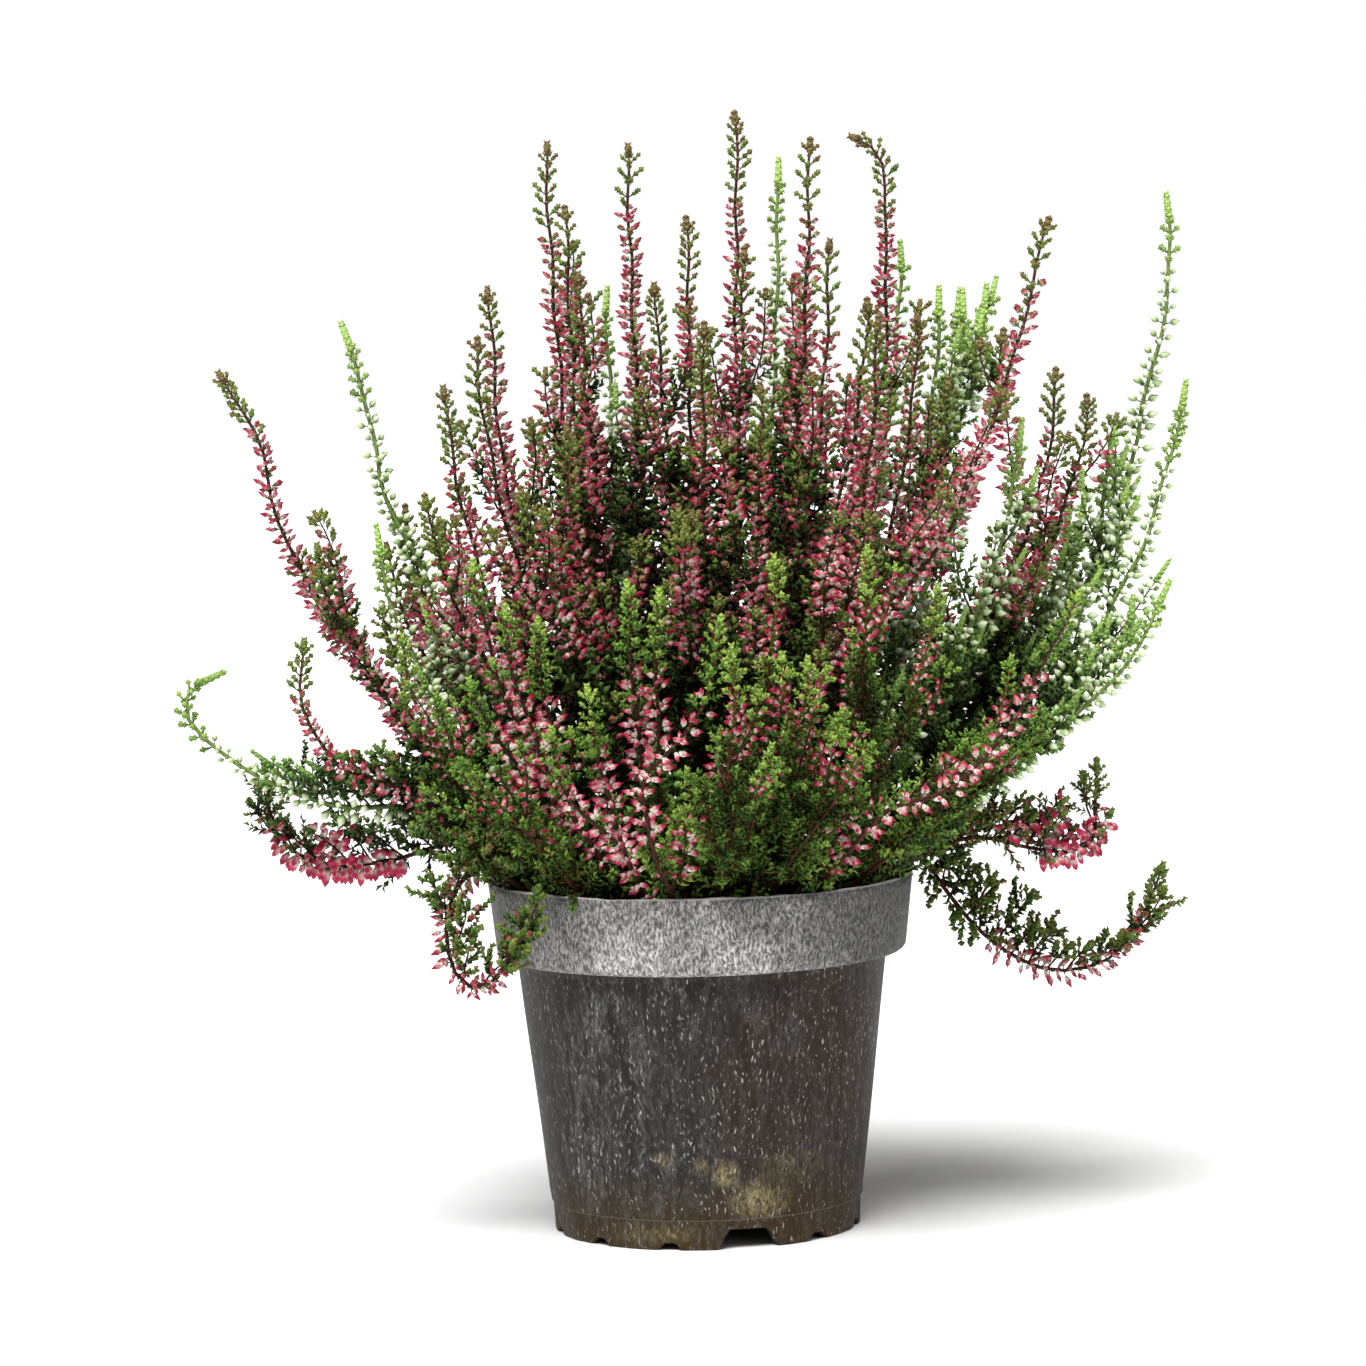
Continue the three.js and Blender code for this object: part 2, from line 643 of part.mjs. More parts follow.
const lines = growLines();
bendClear(lines);
shareRoom(lines);

addMesh('pot', potGeometry(), 0x4b4845, 0.75);
const mainLines = lines.filter((line) => !line.main);
addMesh('soil', soilGeometry(mainLines.map((line) => line.points[0])), 0x1d1510, 1);

SPRAYS.forEach((spray, index) => {
  const random = draws(index + 1);
  const own = lines.filter((line) => line.spray === index);
  const solid = own.map((line) => stemSolid(line, random)).reduce((all, next) => all.add(next));
  const number = String(index + 1).padStart(2, '0');
  addMesh(`spray_${number}_${spray.kind}`, toGeometry(solid), KINDS[spray.kind].colour, 0.8);
});

// The origin is under the middle of the whole outline, on the surface that the pot stands on.
group.updateMatrixWorld(true);
const middle = new THREE.Box3().setFromObject(group).getCenter(new THREE.Vector3());
plant.position.set(-middle.x, -middle.y, 0);
group.updateMatrixWorld(true);

export default group;
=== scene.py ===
import math
from types import SimpleNamespace

import bpy
import numpy as np
from mathutils import Matrix, Vector, kdtree


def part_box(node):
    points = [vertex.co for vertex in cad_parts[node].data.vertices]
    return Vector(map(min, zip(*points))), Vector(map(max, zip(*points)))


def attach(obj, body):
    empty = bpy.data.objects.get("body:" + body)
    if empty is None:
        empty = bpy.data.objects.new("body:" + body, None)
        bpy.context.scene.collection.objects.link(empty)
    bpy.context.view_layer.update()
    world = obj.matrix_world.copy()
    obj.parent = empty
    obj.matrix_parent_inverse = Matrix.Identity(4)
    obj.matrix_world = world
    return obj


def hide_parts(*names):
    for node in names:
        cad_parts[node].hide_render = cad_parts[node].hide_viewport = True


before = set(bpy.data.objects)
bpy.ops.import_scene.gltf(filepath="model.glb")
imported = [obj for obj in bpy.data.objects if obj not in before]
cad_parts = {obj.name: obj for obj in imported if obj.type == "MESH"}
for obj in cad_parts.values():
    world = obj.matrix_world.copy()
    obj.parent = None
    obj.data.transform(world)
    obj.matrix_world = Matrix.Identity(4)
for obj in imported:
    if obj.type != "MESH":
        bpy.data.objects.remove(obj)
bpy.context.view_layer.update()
potLow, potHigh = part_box("pot")
potAxis = np.array([(potLow.x + potHigh.x) / 2, (potLow.y + potHigh.y) / 2, 0.0])  # metres
mm = 0.001


def srgb(code):
    # a hex colour as the linear values that the shaders take
    parts = [int(code[i:i + 2], 16) / 255 for i in (1, 3, 5)]
    return [p / 12.92 if p <= 0.04045 else ((p + 0.055) / 1.055) ** 2.4 for p in parts] + [1.0]


def clipped(value):
    return min(1.0, max(0.0, value))


def newMaterial(name, settings):
    # a material's node tree and its Principled shader, whose plain values are set on its own sockets
    material = bpy.data.materials.new(name)
    material.use_nodes = True
    shader = material.node_tree.nodes["Principled BSDF"]
    for socket, value in settings.items():
        shader.inputs[socket].default_value = value
    return material, material.node_tree, shader


def addNode(tree, kind, settings=None, inputs=None, stops=(), output=0):
    # one node: its settings, its inputs (a value or the socket that feeds it) and its ramp's colours;
    # a Mix of colours takes its factor in 0 and the colours in 6 and 7, and gives its result in 2
    node = tree.nodes.new("ShaderNode" + kind)
    for key, value in (settings or {}).items():
        setattr(node, key, value)
    for key, value in (inputs or {}).items():
        if isinstance(value, bpy.types.NodeSocket):
            tree.links.new(value, node.inputs[key])
        else:
            node.inputs[key].default_value = value
    for number, (place, colour) in enumerate(stops):
        marks = node.color_ramp.elements
        mark = marks[number] if number < len(marks) else marks.new(place)
        mark.position = place
        mark.color = srgb(colour) if isinstance(colour, str) else (colour, colour, colour, 1)
    return node.outputs[output]


# settings that many nodes share
mix = {"data_type": "RGBA"}
times = {"operation": "MULTIPLY"}
timesPlus = {"operation": "MULTIPLY_ADD"}
smooth = {"interpolation_type": "SMOOTHSTEP"}


cameraSettings = {
    "distance": 1.7,  # metres in front of the pot's axis
    "height": 0.308,
    "pitchDeg": 4.750,  # looks down
    "yawDeg": -0.120,
    "rollDeg": -1.417,
    "focalPixels": 5591,  # on a frame of framePixels
    "framePixels": 1366,
    "sensorMm": 36,
}


def makeCamera(settings):
    data = bpy.data.cameras.new("camera")
    camera = bpy.data.objects.new("camera", data)
    bpy.context.scene.collection.objects.link(camera)
    data.sensor_width = settings["sensorMm"]
    data.lens = settings["focalPixels"] / settings["framePixels"] * settings["sensorMm"]
    data.clip_start, data.clip_end = 0.05, 50
    pitch, yaw, roll = (math.radians(settings[key]) for key in ("pitchDeg", "yawDeg", "rollDeg"))
    view = Matrix.Translation((potAxis[0], potAxis[1] - settings["distance"], settings["height"]))
    for angle, axis in ((-yaw, "Z"), (math.pi / 2 - pitch, "X"), (roll, "Z")):
        view = view @ Matrix.Rotation(angle, 4, axis)
    camera.matrix_world = view
    bpy.context.scene.camera = camera


makeCamera(cameraSettings)
print("camera: done")


stems = {  # mm
    "soilTop": 100.0,
    "lineStep": 8.0,  # between the points of a stem
    "footShare": 0.36,  # of a tip's distance from the middle at which its stem leaves the peat
    "footShareZ": 180.0,  # tips below this height have feet further out
    "footMaxRadius": 51.0,
    "footSpacing": 12.0,
    "footRounds": 200,
    "bow": 1.7,  # how soon a stem turns upright
    "clearDistance": 10.5,  # that stems keep from each other
    "clearRounds": 60,
    "clearShares": (0.35, 1.0, 0.1),  # how far they move for it in x, y and z
    "sway": (0.55, 102.0, 15.0),  # size of a slow wave along each stem, where it begins and over how many mm
}

# kind, points on the way to the tip, side tips with the share of the stem at which each leaves,
# budding share where it isn't the kind's; mm from the pot's middle
sprays = [
    ("pink", [(-42, 35, 332)], [(-36, 22, 312, 0.3)]),
    ("pink", [(-32, 5, 292)], [(-50, 15, 246, 0.3)]),
    ("pink", [(-17, 48, 331)], []),
    ("pink", [(1, 30, 308)], [(-9, 18, 288, 0.4)]),
    ("pink", [(17, 42, 340)], [(18, 28, 298, 0.4)]),
    ("pink", [(39, 22, 331)], []),
    ("pink", [(38, 52, 294)], [(32, 40, 269, 0.4)]),
    ("pink", [(44, 5, 300)], [(55, -4, 282, 0.35)]),
    ("pink", [(59, 34, 250), (62, 38, 294), (63, 40, 317), (60, 40, 327), (52, 40, 332)], []),
    ("pink", [(57, -30, 277)], []),
    ("pink", [(71, 18, 277)], [(80, 8, 257, 0.4)]),
    ("pink", [(40, -40, 177), (60, -46, 193), (78, -44, 217), (97, -32, 263), (103, -28, 284),
              (109, -26, 305)], [(95, -20, 272, 0.72)]),
    ("pink", [(113, 12, 259)], [(122, 2, 251, 0.45)]),
    ("pink", [(-60, 15, 288)], [(-64, 2, 273, 0.4)]),
    ("pink", [(-73, -14, 259)], [(-79, -26, 227, 0.35)]),
    ("pink", [(-87, 12, 222)], [(-94, 24, 210, 0.4)]),
    ("pink", [(-81, -8, 146), (-104, -10, 183), (-122, -12, 212), (-130, -12, 244), (-141, -12, 265)],
     [(-113, -22, 213, 0.5), (-108, 4, 201, 0.42)]),
    ("pink", [(-83, -30, 136), (-105, -34, 145), (-114, -34, 157), (-118, -32, 170),
              (-117, -30, 185)], [], 0.6),
    ("pink", [(-69, -8, 120), (-91, -8, 116), (-109, -8, 114), (-124, -8, 119), (-130, -8, 132),
              (-132, -8, 146)], [], 0.5),
    ("pink", [(-52, -30, 117), (-66, -38, 118), (-75, -46, 104), (-74, -52, 88), (-66, -57, 82),
              (-57, -60, 90), (-50, -63, 102), (-47, -64, 113)], [], 0.6),
    ("pink", [(79, -10, 118), (103, -10, 114), (117, -10, 114), (121, -10, 123), (121, -10, 141)], [], 0.28),
    ("pink", [(50, 10, 114), (65, 13, 113), (76, 14, 99), (89, 14, 84), (107, 14, 74), (126, 14, 77),
              (137, 14, 91), (143, 14, 106)], [], 0.42),
    ("pink", [(53, -70, 132), (73, -80, 140), (88, -80, 154), (101, -74, 174), (113, -66, 196)], [], 0.8),
    ("pink", [(-31, -104, 175)], [(-42, -100, 163, 0.4)], 0.86),
    ("pink", [(-19, -78, 203)], [(-10, -92, 201, 0.35)], 0.6),
    ("pink", [(-17, -88, 140), (-6, -102, 156), (4, -108, 173), (8, -106, 194)], [], 0.62),
    ("pink", [(-64, -58, 209)], [(-65, -80, 176, 0.35)], 0.74),
    ("pink", [(-55, -80, 197)], [(-46, -66, 192, 0.4)], 0.78),
    ("pink", [(-37, -22, 247)], [(-50, -36, 229, 0.4)]),
    ("pink", [(5, -6, 276)], [(-4, -48, 223, 0.3)]),
    ("pink", [(22, -26, 258)], []),
    ("white", [(-88, 4, 215), (-95, 4, 237), (-98, 4, 255), (-105, 4, 279)], []),
    ("white", [(-95, -16, 218)], []),
    ("white", [(-81, -24, 131), (-107, -26, 134), (-133, -26, 144), (-149, -26, 157), (-153, -26, 166),
               (-149, -26, 173), (-142, -26, 176)], [], 0.6),
    ("white", [(-25, 62, 287)], [(-16, 50, 280, 0.4)]),
    ("white", [(30, 64, 326)], []),
    ("white", [(68, 60, 299)], []),
    ("white", [(79, 34, 285)], [(86, 26, 284, 0.7)]),
    ("white", [(86, 54, 284)], [(94, 46, 285, 0.7)]),
    ("white", [(126, 20, 200), (134, 20, 224), (143, 18, 260), (148, 16, 283), (148, 16, 312)],
     [(128, 6, 239, 0.5)]),
    ("white", [(111, -4, 159), (125, -4, 183), (137, -2, 205), (145, 0, 228), (152, 0, 255)], []),
    ("white", [(123, 36, 221)], [(117, 24, 216, 0.4)]),
    ("white", [(122, -24, 163), (133, -24, 177), (144, -24, 196)], [(134, -14, 191, 0.6)]),
    ("white", [(100, -14, 245)], []),
    ("green", [(11, -116, 187)], [(-4, -98, 150, 0.3), (22, -112, 158, 0.4)]),
    ("green", [(24, -96, 211)], [(33, -106, 182, 0.35), (42, -96, 166, 0.25)]),
    ("green", [(-87, -44, 187)], [(-76, -56, 170, 0.4)]),
    ("green", [(-50, -66, 128), (-68, -92, 154)], [(-80, -70, 144, 0.5)]),
    ("green", [(71, -78, 200)], [(52, -64, 211, 0.35)]),
    ("green", [(94, -56, 177)], [(104, -46, 160, 0.4), (86, -68, 158, 0.35)]),
    ("green", [(32, -72, 130), (51, -108, 157)], [(62, -90, 144, 0.5)]),
    ("green", [(-9, -56, 132), (-8, -72, 124)], []),
    ("pink", [(-80, 70, 215)], [(-58, 96, 200, 0.35), (-98, 50, 190, 0.3)]),
    ("pink", [(-35, 92, 240)], [(-22, 120, 205, 0.35), (-52, 112, 178, 0.3)]),
    ("white", [(5, 84, 262)], [(14, 124, 215, 0.3), (-6, 112, 182, 0.3)]),
    ("pink", [(45, 96, 250)], [(40, 122, 200, 0.35), (64, 112, 178, 0.3)]),
    ("pink", [(84, 78, 225)], [(104, 62, 205, 0.35), (80, 102, 182, 0.3)]),
]


def bowed(start, end):
    # leans out first and then turns upright
    climb = np.linspace(0, 1, 41)[:, None]
    line = start + (end - start) * (1 - (1 - climb) ** stems["bow"])
    line[:, 2] = start[2] + (end[2] - start[2]) * climb[:, 0]
    return line


def through(points, count=12):
    # a smooth line through the points
    padded = np.vstack([points[:1], points, points[-1:]])
    t = (np.arange(count) / count)[:, None]
    parts = []
    for before, here, after, later in zip(padded, padded[1:], padded[2:], padded[3:]):
        parts.append(here + 0.5 * ((after - before) * t + (2 * before - 5 * here + 4 * after - later) * t ** 2
                                   + (3 * here - before - 3 * after + later) * t ** 3))
    return np.vstack(parts + [points[-1:]])


def lengthAlong(line):
    # the length of the line up to each of its points
    return np.concatenate([[0], np.cumsum(np.linalg.norm(np.diff(line, axis=0), axis=1))])


def evenly(line, step):
    run = lengthAlong(line)
    count = max(2, math.floor(run[-1] / step + 0.5))
    along = np.linspace(0, run[-1], count + 1)
    return np.stack([np.interp(along, run, line[:, axis]) for axis in range(3)], axis=1)


def settleFeet(feet):
    # each stem gets its own ground, inside the pot
    for _ in range(stems["footRounds"]):
        away = feet[:, None] - feet[None]
        apart = np.maximum(np.linalg.norm(away, axis=2), 0.01)
        share = np.where(apart < stems["footSpacing"], 0.4 * (stems["footSpacing"] - apart) / apart, 0)
        np.fill_diagonal(share, 0)
        feet += (away * share[..., None]).sum(1)
        feet *= np.minimum(1, stems["footMaxRadius"] / np.linalg.norm(feet, axis=1))[:, None]


def growLines():
    first = np.array([spray[1][0] for spray in sprays], float)
    least = stems["footShare"]
    share = least + (1 - least) * np.maximum(0, 1 - first[:, 2] / stems["footShareZ"])
    feet = first[:, :2] * share[:, None]
    settleFeet(feet)
    lines = []
    for index, spray in enumerate(sprays):
        foot = np.array([*feet[index], stems["soilTop"]])
        way = np.array(spray[1], float)
        run = bowed(foot, way[0]) if len(way) == 1 else through(np.vstack([foot, way]))
        main = {"spray": index, "main": None, "points": evenly(run, stems["lineStep"])}
        lines.append(main)
        for x, y, z, leaves in spray[2]:
            join = math.floor(leaves * (len(main["points"]) - 1) + 0.5)
            side = evenly(bowed(main["points"][join], np.array([x, y, z], float)), stems["lineStep"])
            lines.append({"spray": index, "main": main, "join": join, "points": side})
    return lines


def bendClear(lines):
    # stems that come too close push each other apart, mostly to the front and back
    need = stems["clearDistance"]
    owner = np.concatenate([[n] * len(line["points"]) for n, line in enumerate(lines)])
    place = np.concatenate([np.arange(len(line["points"])) for line in lines])
    spray = np.array([line["spray"] for line in lines])[owner]
    starts = np.flatnonzero(place == 0)
    for _ in range(stems["clearRounds"]):
        points = np.vstack([line["points"] for line in lines])
        tree = kdtree.KDTree(len(points))
        for n, point in enumerate(points):
            tree.insert(point, n)
        tree.balance()
        pairs = np.array([(n, other) for n, point in enumerate(points)
                          for _, other, _ in tree.find_range(point, need + 0.01) if owner[other] > owner[n]])
        one, two = pairs[:, 0], pairs[:, 1]
        gap = points[one] - points[two]
        apart = np.maximum(np.linalg.norm(gap, axis=1), 0.01)
        near = (apart < need) & ~((spray[one] == spray[two]) & (place[two] < 3))
        part = gap * np.where(near, 0.25 * (need - apart) / apart, 0)[:, None] * stems["clearShares"]
        pushes = np.zeros_like(points)
        np.add.at(pushes, one, part)
        np.add.at(pushes, two, -part)
        for line, start in zip(lines, starts):
            old = line["points"]
            last = len(old) - 1
            push = pushes[start:start + last + 1]
            for _ in range(3):
                wide = np.vstack([push[:1], push, push[-1:]])
                push = 0.5 * push + 0.25 * wide[:-2] + 0.25 * wide[2:]
            root = line["main"]["points"][line["join"]] if line["main"] else old[0]
            steps = np.arange(last + 1)[:, None]
            line["points"] = old + push * np.minimum(1, steps / 4) + (root - old[0]) * (1 - steps / last)


lines = growLines()
bendClear(lines)
print("stem lines:", len(lines))


bark, leaf, bud = 0, 1, 2  # material slots of each spray


def shape(co, tris, quads, slot, along=0.0, age=0.0, tint=0.5):
    # points in mm, faces, and what the materials read at each point: how far along its part it lies, how old
    # the part is and how it differs from its like
    fill = lambda value: np.zeros(len(co)) + value
    return {"co": np.asarray(co, float), "tris": np.asarray(tris, int).reshape(-1, 3),
            "quads": np.asarray(quads, int).reshape(-1, 4),
            "triSlot": np.full(len(tris), slot), "quadSlot": np.full(len(quads), slot),
            "along": fill(along), "age": fill(age), "tint": fill(tint)}


def joined(shapes):
    starts = np.cumsum([0] + [len(s["co"]) for s in shapes[:-1]])
    result = {key: np.concatenate([s[key] for s in shapes]) for key in
              ("co", "triSlot", "quadSlot", "along", "age", "tint")}
    for key in ("tris", "quads"):
        result[key] = np.concatenate([s[key] + start for s, start in zip(shapes, starts)])
    return result


def closedRings(rings, ends, slot=0, **marks):
    # a skin over rings of points, closed at one point inside the first ring and one inside the last
    count, n = len(rings), len(rings[0])
    k, starts = np.arange(n), n * np.arange(count)
    following = (k + 1) % n
    quads = [np.stack([a + k, a + following, b + following, b + k], 1) for a, b in zip(starts, starts[1:])]
    tris = [np.stack([np.full(n, n * count), following, k], 1),
            np.stack([np.full(n, n * count + 1), starts[-1] + k, starts[-1] + following], 1)]
    return shape(np.concatenate([*rings, ends]), np.concatenate(tris), np.concatenate(quads), slot, **marks)


def spindle(sides, rings, slot, lobe=0.0, bend=0.0):
    # closed and pointed at both ends; rings are (place along 0-1, radius), the length is 1
    # lobe narrows every other side and bend carries the end to the front
    turn = 2 * np.pi * np.arange(sides) / sides + np.pi / 2
    co, along = [(0, 0, 0)], [0.0]
    for place, radius in rings:
        reach = radius * (1 - lobe * (np.arange(sides) % 2))
        co += list(zip(reach * np.cos(turn), reach * np.sin(turn) + bend * place ** 2, np.full(sides, place)))
        along += [place] * sides
    co.append((0, bend, 1))
    along.append(1.0)
    ring = lambda n: 1 + n * sides + np.arange(sides)
    following = lambda n: 1 + n * sides + (np.arange(sides) + 1) % sides
    last = len(rings) - 1
    tris = [(0, b, a) for a, b in zip(ring(0), following(0))]
    tris += [(len(co) - 1, a, b) for a, b in zip(ring(last), following(last))]
    quads = [q for n in range(last) for q in zip(ring(n), following(n), following(n + 1), ring(n + 1))]
    return shape(co, tris, quads, slot, along)


def frames(directions, ups):
    # rows are side, front and along, the last along each direction
    z = directions / np.linalg.norm(directions, axis=-1, keepdims=True)
    x = np.cross(ups, z)
    x /= np.maximum(np.linalg.norm(x, axis=-1, keepdims=True), 1e-9)
    return np.stack([x, np.cross(z, x), z], axis=-2)


def placed(part, origin, axes, size=(1, 1, 1), age=None, tint=None):
    result = dict(part)
    result["co"] = (part["co"] * size) @ axes + origin
    if age is not None:
        result["age"] = part["age"] + age
    if tint is not None:
        result["tint"] = np.clip(0.5 * part["tint"] + 0.5 * tint, 0, 1)
    return result


def drawnOut(part, length, age):
    return placed(part, np.zeros(3), np.eye(3), (1, 1, length), age)


upright = np.array([0, 0, 1.0])
budUp = np.array([0.3, 1.0, 0.1])  # not in line with any bud
# a scale leaf of length 1: pointed, with a keel below and a fold across above, closed by four faces
leafBlade = shape([(0, 0, 0), (-1, 1, 0.42), (1, 1, 0.42), (0, 0, 1)],
                  [(0, 1, 2), (3, 2, 1), (0, 2, 3), (0, 3, 1)], [], leaf, [0, 0.42, 0.42, 1])
budBody = spindle(4, [(0.18, 0.85), (0.5, 1.1)], bud)
budBell = spindle(6, [(0.12, 0.6), (0.4, 1.0), (0.75, 0.8)], bud, lobe=0.2)
budTiny = spindle(4, [(0.4, 1.0)], bud)


def leafAt(origin, direction, up, length, width, thick, age, tint):
    return placed(leafBlade, origin, frames(direction, up), (width / 2, thick, length), age, tint)


def outward(turn, lean):
    # a direction at an angle round the axis, lean degrees out from it
    lean = math.radians(lean)
    return np.array([math.cos(turn) * math.sin(lean), math.sin(turn) * math.sin(lean), math.cos(lean)])


def twigShape(rng, length, leafLength, spacing, leans, width, endAge=0.32):
    # a short shoot with leaves in crossing pairs along its whole length, paler to its end
    rise = 0.12 * length
    parts = [drawnOut(spindle(3, [(0.35, 0.3)], bark, bend=rise), length, 0.6)]
    z, turn = spacing * 0.7, rng.uniform(0, np.pi)
    while z < length + 0.05:
        share = z / length
        lean = leans[0] + (leans[1] - leans[0]) * share
        size = leafLength * (1 - 0.3 * share ** 3)
        root = np.array([0, rise * share ** 2, z])
        for half in (0, np.pi):
            direction = outward(turn + half + rng.normal(0, 0.16), lean + rng.normal(0, 6))
            long, wide = size * rng.uniform(0.85, 1.15), width * rng.uniform(0.85, 1.15)
            parts.append(leafAt(root, direction, upright, long, wide, 0.4 * width, endAge * share ** 2,
                                rng.random()))
        z += spacing * rng.uniform(0.85, 1.15)
        turn += np.pi / 2
    parts.append(leafAt(np.array([0, rise, length]), np.array([0.05, 0.25, 1.0]), np.array([0, 1.0, 0]),
                        leafLength * 0.75, width, 0.5 * width, endAge, rng.random()))
    return joined(parts)


def clubShape(rng, length, width, leans=(32, 23, 12)):
    # a stalk that widens into a head of scale leaves
    parts = [drawnOut(spindle(4, [(0.6, 0.2 * width)], leaf), 0.8 * length, -0.08)]
    turn = rng.uniform(0, np.pi)
    for z, lean, size in zip((0.3, 0.5, 0.68), leans, (0.42, 0.42, 0.36)):
        for half in (0, np.pi):
            parts.append(leafAt(upright * z * length, outward(turn + half, lean + rng.normal(0, 5)), upright,
                                size * length, width, 0.34 * width, 0.12 * z, rng.random()))
        turn += np.pi / 2
    return joined(parts)


def budShape(rng, count, body, length, width, stalk, spread, bract=0.42, bractAge=-0.1):
    # a short stalk with one to three buds, each in a pair of green bracts
    parts = [drawnOut(spindle(3, [(0.4, 0.3)], leaf), stalk + 0.4, bractAge)]
    turns = rng.uniform(0, 0.6) + np.pi * np.array([0, 1, 0.5])
    for n in range(count):
        lean = 4 if n == 0 and count != 2 else spread * rng.uniform(0.8, 1.2)
        direction = outward(turns[n - 1 if count == 3 else n], lean)
        start = upright * stalk * (1 if n == 0 else 0.72)
        size = length * (1 if n == 0 else rng.uniform(0.78, 0.95))
        wide = width / 2 * size / length
        axes = frames(direction, budUp)
        parts.append(placed(body, start, axes, (wide, wide, size), 0, rng.random()))
        for half in (-1, 1)[:2 if count < 3 else 1]:
            out = direction + half * 0.45 * axes[0]
            parts.append(leafAt(start - 0.25 * direction, out, direction, bract * size + 0.4, 0.72 * width,
                                0.3 * width, bractAge, rng.random()))
    return joined(parts)


def clusterShape(rng, length, width, count):
    # a club whose leaves part round a few small buds
    parts = [clubShape(rng, length, width, (46, 38, 30))]
    turn = rng.uniform(0, np.pi)
    for n in range(count):
        direction = outward(turn + 2 * np.pi * n / count, rng.uniform(14, 34))
        size = rng.uniform(0.42, 0.55) * length
        start = upright * rng.uniform(0.4, 0.6) * length
        parts.append(placed(budTiny, start, frames(direction, budUp),
                            (0.32 * size, 0.32 * size, size), 0.0, rng.random()))
    return joined(parts)


def apexShape(rng, length, width, leafLength, spacing, age):
    # the closed tip: scale leaves in four rows, the highest pressed together
    core = spindle(5, [(0.1, 0.3 * width), (0.75, 0.3 * width)], leaf)
    parts = [drawnOut(core, 0.95 * length, age)]
    z, turn = 0.0, rng.uniform(0, np.pi)
    while z < length - 0.55 * leafLength:
        share = z / length
        for half in (0, np.pi):
            direction = outward(turn + half, 26 - 14 * share)
            root = outward(turn + half, 90) * width * 0.26 * (1 - 0.4 * share) + upright * z
            long, wide = leafLength * (1 - 0.15 * share), width * 0.85 * (1 - 0.2 * share)
            parts.append(leafAt(root, direction, upright, long, wide, width * 0.3, age + 0.22 * share,
                                rng.random()))
        z += spacing
        turn += np.pi / 2
    return joined(parts)


dice = np.random.default_rng(11)
kinds = {
    # tip: mm of closed tip and clubs, bloom: share of the rest that buds, apex: mm that the apex covers
    "pink": {
        "tip": 22, "bloom": 0.68, "apex": 4.2, "leafAge": 0.72, "stem": (1.0, 0.66, 0.46),
        "apexes": [apexShape(dice, 5.2, 3.2, 2.1, 0.9, 0.0) for _ in range(4)],
        "clubs": [clubShape(dice, size, 1.9, (26, 19, 10)) for size in (4.8, 5.1, 5.3, 5.6, 5.8)],
        "young": [clusterShape(dice, size, 1.8, n) for size, n in ((4.6, 2), (4.9, 3), (5.1, 3), (5.3, 4))],
        "half": [budShape(dice, 3, budTiny, 3.3, 1.9, 2.2, 46, 0.7, -0.15) for _ in range(4)],
        "buds": [budShape(dice, n, budBody, 4.3, 1.65, 1.8, 42, 0.5) for n in (1, 2, 2, 3)]},
    "white": {
        "tip": 24, "bloom": 0.62, "apex": 10.0, "leafAge": 0.78, "stem": (1.0, 0.8, 0.6),
        "apexes": [apexShape(dice, 11.0, 3.2, 2.2, 1.0, 0.0) for _ in range(4)],
        "clubs": [clubShape(dice, size, 2.1, (26, 18, 10)) for size in (3.6, 3.8, 4.0, 4.2)],
        "young": [budShape(dice, 1, budBody, 2.9, 1.9, 1.8, 34, 0.55, -0.2) for _ in range(4)],
        "half": [budShape(dice, n, budBody, 3.4, 2.1, 1.9, 36, 0.55, -0.3) for n in (1, 1, 2)],
        "buds": [budShape(dice, n, budBody, 4.0, 2.35, 2.0, 38, 0.6, -0.36) for n in (1, 1, 2, 2)]},
    "green": {
        "tip": 16, "bloom": 0.14, "apex": 4.0, "leafAge": 0.82, "stem": (0.9, 0.5, 0.36),
        "apexes": [apexShape(dice, 4.6, 2.5, 2.3, 1.0, 0.02) for _ in range(4)],
        "clubs": [clubShape(dice, size, 1.35, (46, 38, 20)) for size in (4.0, 4.5, 5.0)],
        "young": [budShape(dice, 1, budBody, 3.2, 1.6, 1.2, 0) for _ in range(3)],
        "half": [budShape(dice, 1, budBody, 3.3, 1.6, 1.2, 0) for _ in range(3)],
        "buds": [budShape(dice, 1, budBody, 3.4, 1.7, 1.2, 0) for _ in range(3)]},
}
bells = [budShape(dice, n, budBell, 5.1, 2.6, 1.3, 30) for n in (2, 2, 3)]  # on the two trailing stems
# plainer buds for the inside of the bush
innerBuds = {"pink": [budShape(dice, 3, budTiny, 3.8, 2.1, 1.7, 42) for _ in range(3)],
             "white": [budShape(dice, 2, budTiny, 3.4, 2.2, 1.8, 38, 0.5, -0.36) for _ in range(3)]}
innerBuds["green"] = innerBuds["pink"]
twigKinds = {  # leaf length, spacing, lean at the foot and at the end, leaf width; then the twigs' lengths
    "feather": ((2.8, 1.35, (56, 36), 1.25), (4, 6, 8, 10)),
    "cypress": ((2.6, 1.4, (48, 28), 1.9), (4, 6, 8, 10)),
    "inner": ((3.8, 2.4, (56, 36), 1.9), (6, 8, 10, 12)),
    "deep": ((4.6, 2.8, (60, 40), 2.7), (12, 15, 18)),
}
twigs = {name: {length: [twigShape(dice, length, *sizes) for _ in range(4)] for length in lengths}
         for name, (sizes, lengths) in twigKinds.items()}
frontClubs = [clubShape(dice, size, 1.35, (50, 40, 22)) for size in (5.0, 5.5, 6.0)]


def alongLine(points, step=2.0):
    fine = evenly(through(points), step)
    # a slow wave in space, so that stems that join stay joined
    x, y, z = fine.T
    wave = np.stack([np.sin(z * 0.19 + y * 0.05), np.sin(z * 0.23 + x * 0.06), np.zeros(len(fine))], 1)
    size, start, over = stems["sway"]
    return fine + size * wave * np.clip((fine[:, 2:3] - start) / over, 0, 1)


